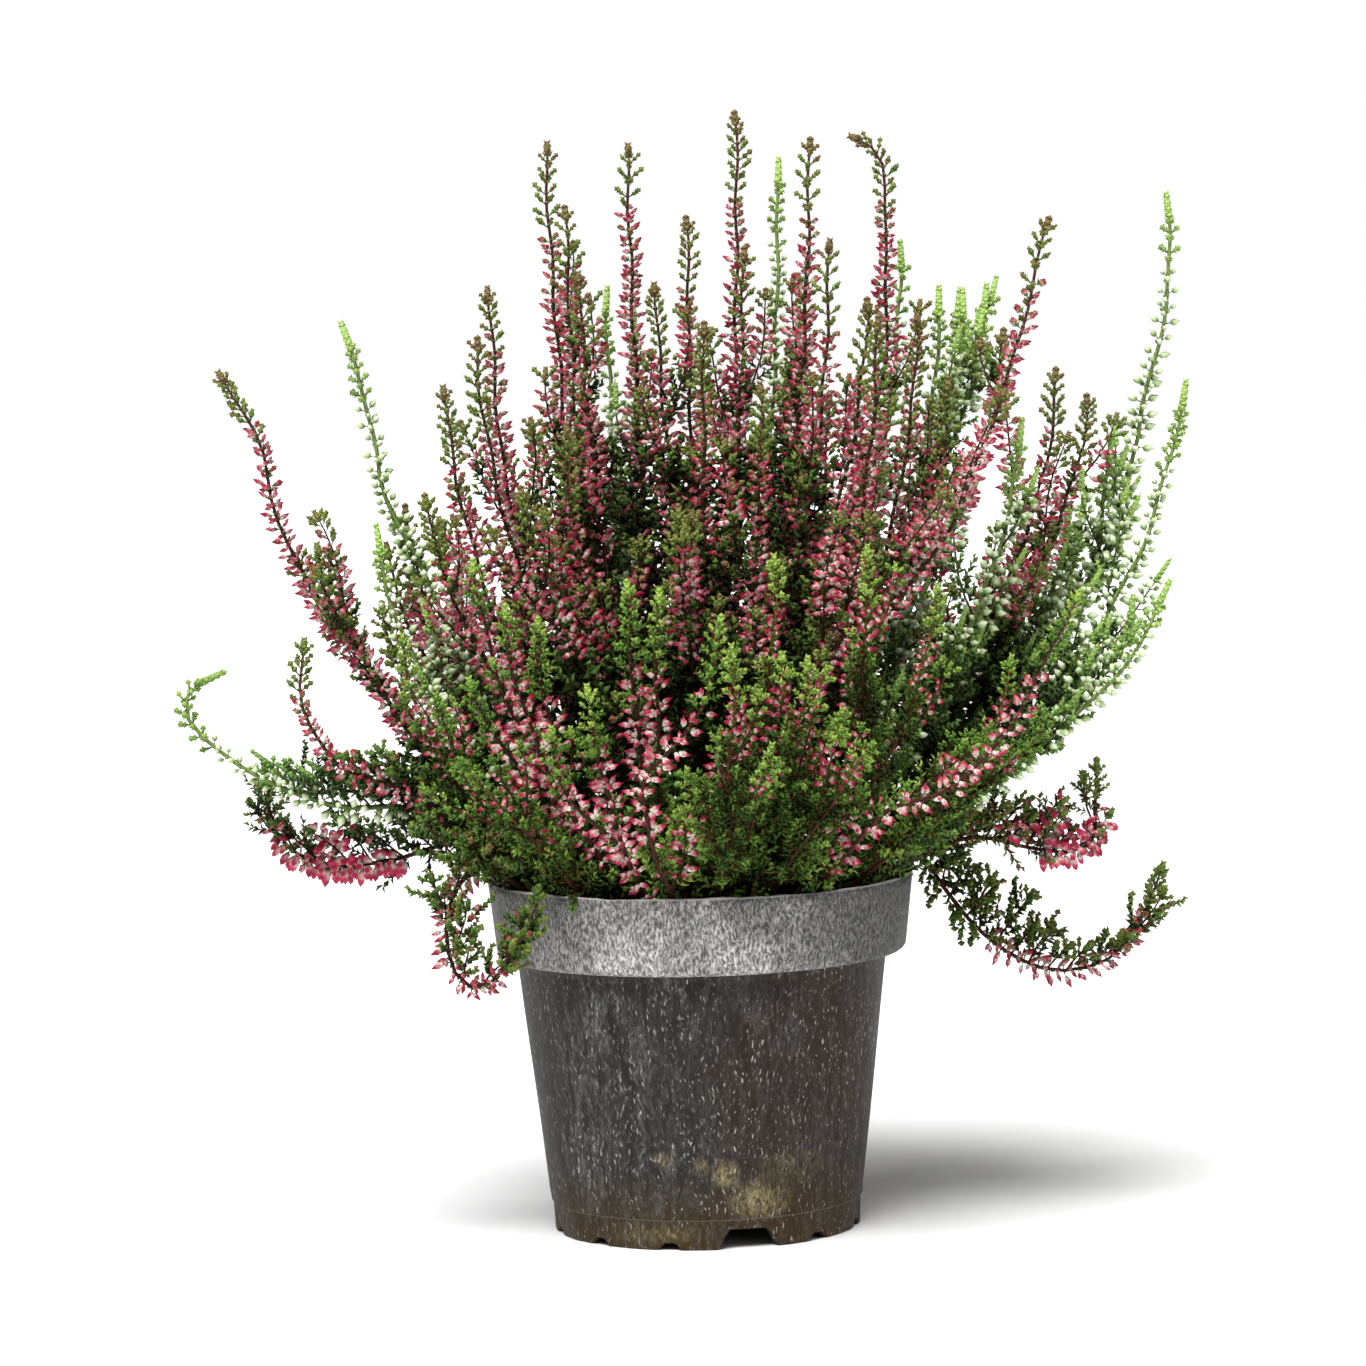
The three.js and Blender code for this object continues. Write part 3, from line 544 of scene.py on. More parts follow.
growth = {
    # mm between whorls: at the apex, and at the end of the tip on tall stems and on others
    "clubGap": (1.5, 3.8, 2.4),
    "tallZ": 285.0,  # stems that end above this are tall
    # mm between whorls of buds: where they begin and where they are fully grown
    "budGap": (2.3, 2.1),
    "whiteGap": (2.5, 2.3),
    "frontGap": (3.0, 3.5),
    "bellGap": (2.2, 1.8),
    "twigGap": 3.2,
    "twigGapShares": (1.25, 1.3, 0.2),  # wider deep in the bush and in front, closer in a thicket
    "innerTwigs": 0.32,  # share of leafy twigs among the buds inside the bush
    "youngShare": 0.3,  # of the stem's length, below the tip, over which the buds grow to full size
    "youngLeast": 16.0,
    "bract": (1.9, 1.5, 0.45),  # length, width and thickness of the small leaves on the stem
    "slim": 0.82,  # size of a side shoot's apex
    "shootStem": (0.36, 0.32, 0.26),  # radii of a side shoot
    "sideStem": (0.6, 0.8, 0.9),  # radii of a side stem in shares of the main stem's
    "root": 6.0,  # mm of each main stem in the peat
    "tipSpread": (0.8, 1.3),  # shares of the kind's usual tip
    "leafyTip": (4.0, 7.0),  # mm of tip on the side shoots without buds and on the others
    "shootTip": (6.5, 11.5),
    "shootBloom": (0.35, 0.8),  # share of a side shoot that buds
    "twigLengths": (18, 12, 5),  # deep in the bush, inside it and outside, where they get up to twice that
    # radius of the bush at the soil, its growth with height and the height it ends at
    "shell": (62.0, 0.5, 185.0),
    "core": (14.0, 24.0, 0.13, 230.0),  # the same of its core, after the core's y
    # in front of this y, below this z and within this radius the peat shows
    "bareFront": (-20.0, 113.5, 62.0),
    "keepOut": (109.4, 60.5, 67.0),  # nothing grows below this z between these radii, where the pot's wall is
    "fringe": (-28.0, 128.0),  # in front of this y and below this z the twigs lie over the rim
    # where leafy twigs crowd out the buds, their leaves painted darker as shade: centre and half sizes in x, y
    # and z
    "thickets": [(86.0, 4.0, 154.0, 42.0, 40.0, 34.0), (-84.0, 0.0, 132.0, 42.0, 44.0, 28.0),
                 (84.0, 10.0, 116.0, 34.0, 40.0, 18.0), (18.0, -12.0, 140.0, 26.0, 34.0, 26.0)],
}
# a part's age sets its colour, from dark through green to brown; these numbers change it, some as painted
# shade
tones = {
    # painted shade: darker side shoots that end low: how much, below which z and over how many mm
    "lowShoot": (0.16, 175, 40),
    # the same painted shade for all stems at the sides, and beyond which x and over how many mm
    "lowSide": (0.15, 190, 30, 35, 25),
    # browner tips of high stems: how much, about which z and over how many mm
    "high": (0.14, 215, 60),
    "front": 0.1,  # browner tips in front
    "tip": 0.08,  # darker from the apex to the end of the tip
    # full buds are paler and their bracts darker: on hanging, front and other stems
    "ripe": (0.3, 0.25, 0.2),
    # twigs inside the bush, near black as painted shade, outside, and how much darker these are low on a stem
    # and in thickets, as painted shade
    "twig": (0.13, 0.49, 0.32),
    "fringe": 0.2,  # lighter twigs over the rim
}


def clearOfPot(points):
    # whether none of the points lies in the pot's wall or in the peat
    out, z = np.hypot(points[:, 0], points[:, 1]), points[:, 2]
    wallZ, inside, outside = growth["keepOut"]
    inWall = (z < wallZ) & (out > inside) & (out < outside)
    inPeat = (z < stems["soilTop"] + 0.8) & (out < growth["bareFront"][2])
    return not (inWall | inPeat).any()


def depthAt(point):
    # how deep a point lies inside the lower bush: 0 near the outside, 1 where nothing shows
    radius, slope, top = growth["shell"]
    share = math.hypot(point[0], point[1]) / (radius + slope * (point[2] - stems["soilTop"]))
    return clipped((0.74 - share) / 0.3) * clipped((top - point[2]) / 30)


def isInside(point, depth):
    # where plain buds and twigs will do; the twigs here are painted near black as shade
    y, radius, slope, top = growth["core"]
    reach = radius + slope * (point[2] - stems["soilTop"])
    return depth > 0.3 or point[2] < top and math.hypot(point[0], point[1] - y) < reach


def lushAt(point):
    # 1 in the thick of a leafy part and 0 outside
    return max(clipped(2.5 * (1 - math.hypot(*[(point[n] - spot[n]) / spot[n + 3] for n in range(3)])))
               for spot in growth["thickets"])


def curveOf(points):
    # a stem's length, and what gives its place and its direction at a distance from the foot
    fine = alongLine(points)
    run = lengthAlong(fine)
    tangents = np.gradient(fine, axis=0)
    tangents /= np.linalg.norm(tangents, axis=1, keepdims=True)
    read = lambda rows, where: np.stack([np.interp(where, run, column) for column in rows.T], -1)
    return run[-1], lambda where: read(fine, where), lambda where: read(tangents, where)


def acrossStem(tangent):
    # two directions across a stem, the second to the front
    side = np.cross(tangent, [0.1, 1, 0.05])
    side /= np.linalg.norm(side)
    return side, np.cross(tangent, side)


def stemTube(at, length, radii, root):
    # the bare stem, which goes root mm down into the peat
    sides = 5 if root else 4
    steps = np.linspace(0, length, max(4, round(length / 7) + 1))
    path = at(steps)
    wide = np.interp(steps, [0, length * 0.5, length - 8, length], [*radii, radii[2] * 0.6])
    if root:
        path = np.vstack([path[0] - [0, 0, root], path])
        wide = np.append(wide[0], wide)
    axes = frames(np.gradient(path, axis=0), np.tile([0.12, 1.0, 0.08], (len(path), 1)))
    turn = (2 * np.pi * np.arange(sides) / sides)[None, :, None]
    out = np.cos(turn) * axes[:, None, 0] + np.sin(turn) * axes[:, None, 1]
    along, age = (np.append(np.repeat(np.linspace(first, last, len(path)), sides), [first, last])
                  for first, last in ((0, 1), (0.1, 0.9)))
    return closedRings(path[:, None] + wide[:, None, None] * out, path[[0, -1]], bark, along=along, age=age)


def endTones(end, stem):
    # how much darker the leaves of a low stem are, as painted shade that stems in full light don't get, and
    # how much browner the tip of a high one
    shoot, shootZ, shootFade = tones["lowShoot"]
    side, sideZ, sideFade, sideX, sideFadeX = tones["lowSide"]
    high, highZ, highFade = tones["high"]
    low = max(shoot * (stem.isShoot and not stem.early) * clipped((shootZ - end[2]) / shootFade),
              side * clipped((abs(end[0]) - sideX) / sideFadeX) * clipped((sideZ - end[2]) / sideFade))
    highTone = high * min(1.0, max(-1.0, (end[2] - highZ) / highFade))
    return 0.0 if stem.isLit else low, tones["front"] if stem.early and not stem.fullBuds else highTone


# clubOn, budOn and twigOn each give a part, its lean in degrees, its size, age and lift
def clubOn(stem, here, rng):
    # the closed clubs of the tip, larger and more open away from the apex
    clubs = frontClubs if stem.early and here.share > 0.4 else stem.own["clubs"]
    part = clubs[rng.integers(len(clubs))]
    size = min(1.05, 0.7 + 0.5 * here.share) * rng.uniform(0.9, 1.1)
    brown = stem.highTone * max(0.0, 1 - 2.5 * here.share)
    age = stem.own["leafAge"] + brown - tones["tip"] * here.share - stem.low + rng.normal(0, 0.05)
    return part, 50 - 12 * here.share, size, age, 0.0


def budOn(stem, here, rng):
    # young, half-grown or full buds
    own, opening = stem.own, here.opening
    full = stem.fullBuds or (innerBuds[stem.kind] if here.isInner else own["buds"])
    chance = rng.random()
    family = full if chance < opening else own["half"] if chance < 0.25 + 1.8 * opening else own["young"]
    part = family[rng.integers(len(family))]
    lean = rng.normal(34 - 18 * opening, 9)
    size = rng.uniform(0.85, 1.12) * (0.85 + 0.15 * opening + 0.04 * (stem.early > 0))
    ripe = tones["ripe"][0 if stem.fullBuds else 1 if stem.early else 2]
    return part, lean, size, own["leafAge"] - 0.02 - ripe * opening + rng.normal(0, 0.06), stem.droop


def twigOn(stem, here, rng):
    # leafy twigs, longer low on the stem, and darker there and in thickets as painted shade, less on stems in
    # full light
    isDeep = here.depth > 0.5
    deepLength, innerLength, least = growth["twigLengths"]
    low = min(1.0, max(0.3, (here.fromTip - stem.bloomEnd) / 25))
    usual = deepLength if isDeep else innerLength if here.isInner else least * (1 + max(low, here.lush))
    wanted = rng.uniform(0.6, 1.05) * usual
    isFeather = stem.kind == "green" or stem.early or rng.random() < (0.25 if here.lush else 0.5)
    family = twigs["deep" if isDeep else "inner" if here.isInner else "feather" if isFeather else "cypress"]
    part = family[min(family, key=lambda value: abs(value - wanted))][rng.integers(4)]
    lean, size = rng.normal(34, 11), rng.uniform(0.9, 1.15) * (1 + 0.25 * here.flat)
    # painted shade: twigs inside the bush take a near-black age, and others a darker one low on the stem and
    # in thickets
    inner, outer, darker = tones["twig"]
    shade = 0.4 * low if stem.isLit else max(low, here.lush)
    age = (inner if here.isInner else outer - darker * shade) + rng.normal(0, 0.1)
    if here.centre[1] < growth["fringe"][0] and here.centre[2] < growth["fringe"][1]:
        return part, lean, size, age + tones["fringe"], 0.1
    return part, lean, size, age, 0.2 + 0.5 * here.flat


def gapAfter(stem, here):
    # mm from one whorl to the next
    if here.fromTip < stem.tipLength:
        first, tall, last = growth["clubGap"]
        return first + ((tall if stem.isTall else last) - first) * min(1.0, here.share)
    if here.fromTip < stem.bloomEnd:
        first, last = growth["whiteGap" if stem.kind == "white" else "bellGap" if stem.fullBuds
                             else "frontGap" if stem.early else "budGap"]
        return first + (last - first) * here.opening
    deep, front, closer = growth["twigGapShares"]
    wider = deep if here.depth > 0.5 else front if stem.early else 1
    return growth["twigGap"] * (1 - closer * here.lush) * wider


def dressWhorl(stem, here, turn, rng):
    # two parts across from each other, and the small leaves under them
    centre, tangent = here.centre, here.tangent
    side, front = acrossStem(tangent)
    bareY, bareZ, bareRadius = growth["bareFront"]
    isBare = centre[1] < bareY and centre[2] < bareZ and math.hypot(centre[0], centre[1]) < bareRadius
    fewer = max(growth["innerTwigs"] if here.isInner else 0, 0.85 * (here.lush - stem.thick))
    parts = []
    for half in (0, np.pi):
        angle = turn + half + rng.normal(0, 0.14)
        out = math.cos(angle) * side + math.sin(angle) * front
        if here.fromTip < stem.tipLength + rng.uniform(-3, 4):
            part, lean, size, age, up = clubOn(stem, here, rng)
        elif here.fromTip < stem.bloomEnd and rng.random() > fewer:
            part, lean, size, age, up = budOn(stem, here, rng)
        else:
            part, lean, size, age, up = twigOn(stem, here, rng)
        lean = math.radians(lean)
        direction = math.cos(lean) * out + math.sin(lean) * tangent + np.array([0, 0, up])
        direction /= np.linalg.norm(direction)
        end = centre + direction * part["co"][:, 2].max() * size
        isKept = rng.random() > (0.35 if isBare else 0.25 * here.depth)
        if isKept and clearOfPot(np.stack([(centre + end) / 2, end])):
            axes = frames(direction, tangent)
            parts.append(placed(part, centre, axes, (size, size, size), age, rng.random()))
        if here.fromTip < stem.bloomEnd and here.depth < 0.3 and not stem.isShoot:
            across = math.cos(angle + 1.2) * side + math.sin(angle + 1.2) * front
            length, width, thick = growth["bract"]
            age = stem.own["leafAge"] - 0.3 * min(1.0, here.share)
            parts.append(leafAt(centre, tangent + 0.55 * across, tangent, length * rng.uniform(0.8, 1.3),
                                width, thick, age, rng.random()))
    return parts


def dressLine(points, kind, rng, tipLength, bloomShare, radii, droop, fullBuds, early, thick, root=0.0):
    # a stem with all that grows on it; radii are at its foot, midway and at its tip, droop lifts or lowers
    # the buds, early makes them grow sooner, thick is the least closeness of its leafy twigs, which also
    # paints them darker as shade on stems not in full light, and root is how deep it stands in the peat
    length, at, tangentAt = curveOf(points)
    end, own = at(length), kinds[kind]
    stem = SimpleNamespace(
        kind=kind, own=own, tipLength=tipLength, bloomEnd=tipLength + bloomShare * (length - tipLength),
        droop=droop, fullBuds=fullBuds, early=early, thick=thick, isShoot=radii[0] < 0.5,
        isTall=end[2] > growth["tallZ"],
        isLit=thick > 0 and end[0] > 0)  # the stems that lie down on the right are in full light
    stem.low, stem.highTone = endTones(end, stem)
    parts = [stemTube(at, length, radii, root)]
    turn = rng.uniform(0, np.pi)
    fromTip = min(own["apex"], length * 0.4)
    slim = growth["slim"] if stem.isShoot else 1.0
    parts.append(placed(own["apexes"][rng.integers(4)], at(length - fromTip),
                        frames(tangentAt(length - fromTip / 2), np.array([0.2, 1, 0.1])), (slim, slim, slim),
                        own["leafAge"] + stem.highTone - stem.low, rng.random()))
    young = max(growth["youngLeast"], growth["youngShare"] * length)
    while fromTip < length - 1.5:
        centre, tangent = at(length - fromTip), tangentAt(length - fromTip)
        depth = depthAt(centre)
        here = SimpleNamespace(
            fromTip=fromTip, centre=centre, tangent=tangent, depth=depth, isInner=isInside(centre, depth),
            share=fromTip / tipLength, opening=min(1.0, max(0.0, (fromTip - tipLength) / young) + early),
            flat=1 - abs(tangent[2]),  # 1 on a stem that lies level
            lush=max(thick, 0.0 if early else lushAt(centre)))
        parts += dressWhorl(stem, here, turn, rng)
        fromTip += gapAfter(stem, here) * rng.uniform(0.85, 1.15)
        turn += np.pi / 2 + rng.normal(0, 0.18)
    return parts


shoots = {  # mm between them along the stem, where on it by shares, their length and how far they reach out
    "usual": {"spacing": 19.8, "zone": (0.08, 0.62), "length": (26.0, 50.0), "reach": (8.0, 13.0)},
    "broad": {"spacing": 19.0, "zone": (0.08, 0.82), "length": (26.0, 46.0), "reach": (9.0, 15.0)},
    "front": {"spacing": 55.0, "zone": (0.05, 0.5), "length": (20.0, 40.0), "reach": (9.0, 14.0)},
    "trailing": {"spacing": 6.5, "zone": (0.08, 0.86), "length": (10.0, 20.0), "reach": (8.0, 13.0)},
    "rising": {"spacing": 6.5, "zone": (0.08, 0.58), "length": (12.0, 22.0), "reach": (8.0, 13.0)},
}


def sideShoots(points, rng, habit):
    # where short side shoots leave a stem and how they rise beside it
    fine = alongLine(points)
    run = lengthAlong(fine)
    found = []
    where = habit["zone"][0] * run[-1] + rng.uniform(0, 8)
    turn = rng.uniform(0, 2 * np.pi)
    while where < habit["zone"][1] * run[-1]:
        n = int(np.searchsorted(run, where))
        start, tangent = fine[n], fine[n] - fine[n - 1]
        tangent /= np.linalg.norm(tangent)
        steep = abs(tangent[2])
        side, front = acrossStem(tangent)
        out = math.cos(turn) * side + math.sin(turn) * front
        out[2] = max(out[2], -out[2] * (steep < 0.75)) + max(0, 0.5 - steep)  # none hangs from a level stem
        length = min(rng.uniform(*habit["length"]), 0.8 * (run[-1] - where))
        reach = rng.uniform(*habit["reach"]) * min(1, length / 30)
        rise = np.array([0.75 * tangent[0], 0.75 * tangent[1], 0.75 * steep + 0.25])
        u = np.linspace(0, 1, max(4, round(length / 8) + 1))[:, None]
        path = start + out * reach * (1 - (1 - u) ** 1.8) + rise * length * u
        if clearOfPot(path[1:]) and depthAt(path[-1]) < 0.6:
            found.append(path)
        # they stand closer in the thickets, most of all on the right
        closer = (0.5 if start[0] > 60 else 0.3) * lushAt(start)
        where += habit["spacing"] * rng.uniform(0.8, 1.2) * (1 - closer)
        turn += 2.4
    return found


def meshOf(name, part, materials):
    # one mesh object from a shape in mm about the pot's axis
    mesh = bpy.data.meshes.new(name)
    tris, quads = part["tris"], part["quads"]
    slots = np.concatenate([part["triSlot"], part["quadSlot"]])
    loops = np.concatenate([tris.ravel(), quads.ravel()]).astype(np.int32)
    totals = np.concatenate([np.full(len(tris), 3), np.full(len(quads), 4)])
    mesh.vertices.add(len(part["co"]))
    mesh.vertices.foreach_set("co", (part["co"] * mm + potAxis).astype(np.float32).ravel())
    mesh.loops.add(len(loops))
    mesh.loops.foreach_set("vertex_index", loops)
    mesh.polygons.add(len(totals))
    mesh.polygons.foreach_set("loop_start", (np.cumsum(totals) - totals).astype(np.int32))
    mesh.polygons.foreach_set("material_index", slots.astype(np.int32))
    mesh.polygons.foreach_set("use_smooth", np.ones(len(totals), bool))
    for key in ("along", "age", "tint"):
        mark = mesh.attributes.new(key, "FLOAT", "POINT")
        mark.data.foreach_set("value", part[key].astype(np.float32))
    for material in materials:
        mesh.materials.append(material)
    mesh.update(calc_edges=True)
    mesh.validate()
    piece = bpy.data.objects.new(name, mesh)
    bpy.context.scene.collection.objects.link(piece)
    return piece


def makeBark(name, stops):
    # thin smooth heather bark, matt: red or green at the tip and darker and browner with age
    material, tree, shader = newMaterial(name, {"Roughness": 0.6, "IOR": 1.45, "Specular IOR Level": 0.15})
    age = addNode(tree, "Attribute", {"attribute_name": "age"}, output="Fac")
    colour = addNode(tree, "ValToRGB", inputs={"Fac": age}, stops=stops)
    where = addNode(tree, "TexCoord", output="Object")
    fibres = addNode(tree, "Mapping", inputs={"Vector": where, "Scale": (1, 1, 0.25)})
    grain = addNode(tree, "TexNoise", inputs={  # coarser than real
        "Vector": fibres, "Scale": 1 / (heatherLooks["barkGrain"] * mm), "Detail": 3.0})
    shade = addNode(tree, "ValToRGB", inputs={"Fac": grain}, stops=[(0.3, 0.6), (0.7, 1.0)])
    colour = addNode(tree, "Mix", {**mix, "blend_type": "MULTIPLY"}, {0: 1.0, 6: colour, 7: shade}, output=2)
    bump = addNode(tree, "Bump", inputs={"Height": grain, "Distance": 0.1 * mm})
    tree.links.new(colour, shader.inputs["Base Color"])
    tree.links.new(bump, shader.inputs["Normal"])
    return material


def makeLeaf(name, stops, tipColour):
    # fleshy scale leaves: a waxy skin with a soft gloss, light in the flesh and a paler point
    looks = heatherLooks
    material, tree, shader = newMaterial(name, {
        "Roughness": 0.5, "IOR": 1.42, "Specular IOR Level": 0.14,
        "Subsurface Weight": looks["leafLight"], "Subsurface Scale": looks["leafDepth"] * mm})
    # the age also carries painted shade: twigs inside the bush, low on a stem and in thickets have darker ages
    age, tint, along = (addNode(tree, "Attribute", {"attribute_name": key}, output="Fac")
                        for key in ("age", "tint", "along"))
    tone = addNode(tree, "Math", timesPlus, {0: tint, 1: 0.24, 2: age})
    colour = addNode(tree, "ValToRGB", inputs={"Fac": tone}, stops=stops)
    point = addNode(tree, "Math", {"operation": "POWER"}, {0: along, 1: 2.0})
    for factor in (tone, 0.5):
        point = addNode(tree, "Math", times, {0: point, 1: factor})
    colour = addNode(tree, "Mix", mix, {0: point, 6: colour, 7: srgb(tipColour)}, output=2)
    tree.links.new(colour, shader.inputs["Base Color"])
    return material


def makeBud(name, stops, deepStops):
    # closed papery sepals, satin: pale at the base and coloured to the point, some deeper than others
    looks = heatherLooks
    material, tree, shader = newMaterial(name, {
        "Roughness": 0.45, "IOR": 1.4, "Specular IOR Level": 0.2,
        "Subsurface Weight": looks["budLight"], "Subsurface Scale": looks["budDepth"] * mm})
    age, tint, along = (addNode(tree, "Attribute", {"attribute_name": key}, output="Fac")
                        for key in ("age", "tint", "along"))
    where = addNode(tree, "TexCoord", output="Object")
    veins = addNode(tree, "TexNoise", inputs={
        "Vector": where, "Scale": 1 / (looks["budVeins"] * mm), "Detail": 2.0})
    place = addNode(tree, "Math", timesPlus, {0: veins, 1: 0.3, 2: along})
    youth = addNode(tree, "MapRange", inputs={
        "Value": age, "From Min": 0.38, "From Max": 0.6, "To Min": -0.35, "To Max": 0.35})
    share = addNode(tree, "Math", {"operation": "ADD", "use_clamp": True}, {0: tint, 1: youth})
    light, deep = (addNode(tree, "ValToRGB", inputs={"Fac": place}, stops=marks)
                   for marks in (stops, deepStops))
    colour = addNode(tree, "Mix", mix, {0: share, 6: light, 7: deep}, output=2)
    tree.links.new(colour, shader.inputs["Base Color"])
    return material


heatherLooks = {
    # mm: patterns of bark and buds, and how far light goes into leaves and buds, with its weight
    "barkGrain": 1.2, "budVeins": 0.9, "leafDepth": 0.6, "leafLight": 0.1, "budDepth": 0.8, "budLight": 0.12,
    # colours by age
    "bark": {
        "pink": ("heather bark, red brown",
                 [(0.1, "#46301f"), (0.45, "#4a241d"), (0.75, "#471c1f"), (0.95, "#6a2730")]),
        "white": ("heather bark, pale green", [(0.1, "#33381c"), (0.4, "#4d6230"), (0.9, "#93a95c")]),
        "green": ("heather bark, rust",
                  [(0.1, "#2f2116"), (0.45, "#4c2a1a"), (0.7, "#5c3a20"), (0.95, "#85502c")]),
    },
    # colours by age, whose darkest end stands for painted shade deep in the bush, and of the leaf's point
    "leaf": {
        "pink": ("scale leaves, olive",
                 [(0.2, "#081405"), (0.45, "#17300e"), (0.68, "#4b6c2d"), (0.86, "#6e7b3a"),
                  (1.05, "#6e4c3c")], "#82964a"),
        "white": ("scale leaves, yellow green",
                  [(0.2, "#0b1907"), (0.52, "#234316"), (0.78, "#6c923c"), (1.0, "#9aba5e")], "#b0c886"),
        "green": ("scale leaves, fresh green",
                  [(0.2, "#091606"), (0.5, "#1b390f"), (0.82, "#547c2e"), (1.0, "#8fa84c")], "#88a852"),
    },
    # colours from the base to the point, of light and of deep buds
    "bud": {
        "pink": ("heather sepals, crimson",
                 [(0.2, "#8e9a5f"), (0.34, "#faf2e8"), (0.62, "#f5d6d0"), (0.8, "#d04e6c"),
                  (1.0, "#a8264c")],
                 [(0.2, "#5f6034"), (0.34, "#ecd3c4"), (0.46, "#d0808a"), (0.6, "#a3223f"),
                  (1.0, "#6c0e24")]),
        "white": ("heather sepals, white", [(0.2, "#6f9046"), (0.5, "#c3d3a4"), (0.95, "#edf0e0")],
                  [(0.2, "#5c7c3a"), (0.55, "#a2ba80"), (1.0, "#d2ddbb")]),
    },
}
barks, leaves, buds = ({kind: make(*look) for kind, look in heatherLooks[key].items()}
                       for key, make in (("bark", makeBark), ("leaf", makeLeaf), ("bud", makeBud)))
buds["green"] = buds["pink"]
groups = {  # sprays by their number less one
    "hanging": {18: -0.75, 20: -0.6},  # their full buds hang, and how far
    "rising": (17, 33, 42, 49),  # low, leafy below and slender above
    "trailing": (17, 18, 19, 20, 21, 33),  # they lie down, with leafy side shoots
    "front": {23: 0.5, 24: 0.4, 25: 0.5, 26: 0.4, 27: 0.4, 22: 0.4},  # their buds are full-grown sooner
    "broad": (12, 38, 41, 43),  # with side shoots nearly to the tip
}


def growSpray(index):
    # the stems of a spray with their side shoots, and all that grows on them
    spray, rng = sprays[index], np.random.default_rng(100 + index)
    kind, own = spray[0], kinds[spray[0]]
    isHanging, isTrailing, isFront = (index in groups[name] for name in ("hanging", "trailing", "front"))
    bloomShare = spray[3] if len(spray) > 3 else own["bloom"]
    droop = groups["hanging"].get(index, 0.05)
    shared = {"fullBuds": bells if isHanging else None, "thick": 0.8 if isTrailing else 0.0,
              "early": groups["front"].get(index, 0.35 if isHanging else 0.0)}
    fitting = [name for name in ("rising", "trailing", "front", "broad") if index in groups[name]]
    habit = shoots[(fitting + ["usual"])[0]]
    parts = []
    for line in [line for line in lines if line["spray"] == index]:
        isMain = line["main"] is None
        shares = (1, 1, 1) if isMain else growth["sideStem"]
        radii = [share * radius for share, radius in zip(shares, own["stem"])]
        tip = own["tip"] * rng.uniform(*growth["tipSpread"]) * (0.6 if kind == "pink" and isTrailing else 1.0)
        parts += dressLine(line["points"], kind, rng, tip, bloomShare, radii, droop,
                           root=growth["root"] if isMain else 0.0, **shared)
        for path in sideShoots(line["points"], rng, habit):
            isLow = path[-1][2] < 150 and (kind != "pink" or isTrailing)
            isLeafy = isLow or not isFront and lushAt(path[-1]) > 0.3
            tip = rng.uniform(*growth["leafyTip" if isLeafy else "shootTip"])
            share = 0.0 if isLeafy else rng.uniform(*growth["shootBloom"])
            if isHanging and math.dist(path[0], line["points"][-1]) < 48 and path[-1][2] < 128:
                tip, share = 3.0, 1.0
            parts += dressLine(path, kind, rng, tip, share, growth["shootStem"], 0.3 * droop, **shared)
    return joined(parts)


total = 0
for index, spray in enumerate(sprays):
    kind = spray[0]
    whole = growSpray(index)
    node = f"spray_{index + 1:02d}_{kind}"
    # the shoots in front end in fresh green
    piece = meshOf(f"heather_{node}", whole,
                   [barks[kind], leaves["green" if index in groups["front"] else kind], buds[kind]])
    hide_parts(node)
    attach(piece, "root")
    total += len(whole["tris"]) + 2 * len(whole["quads"])
print("sprays: triangles", total)


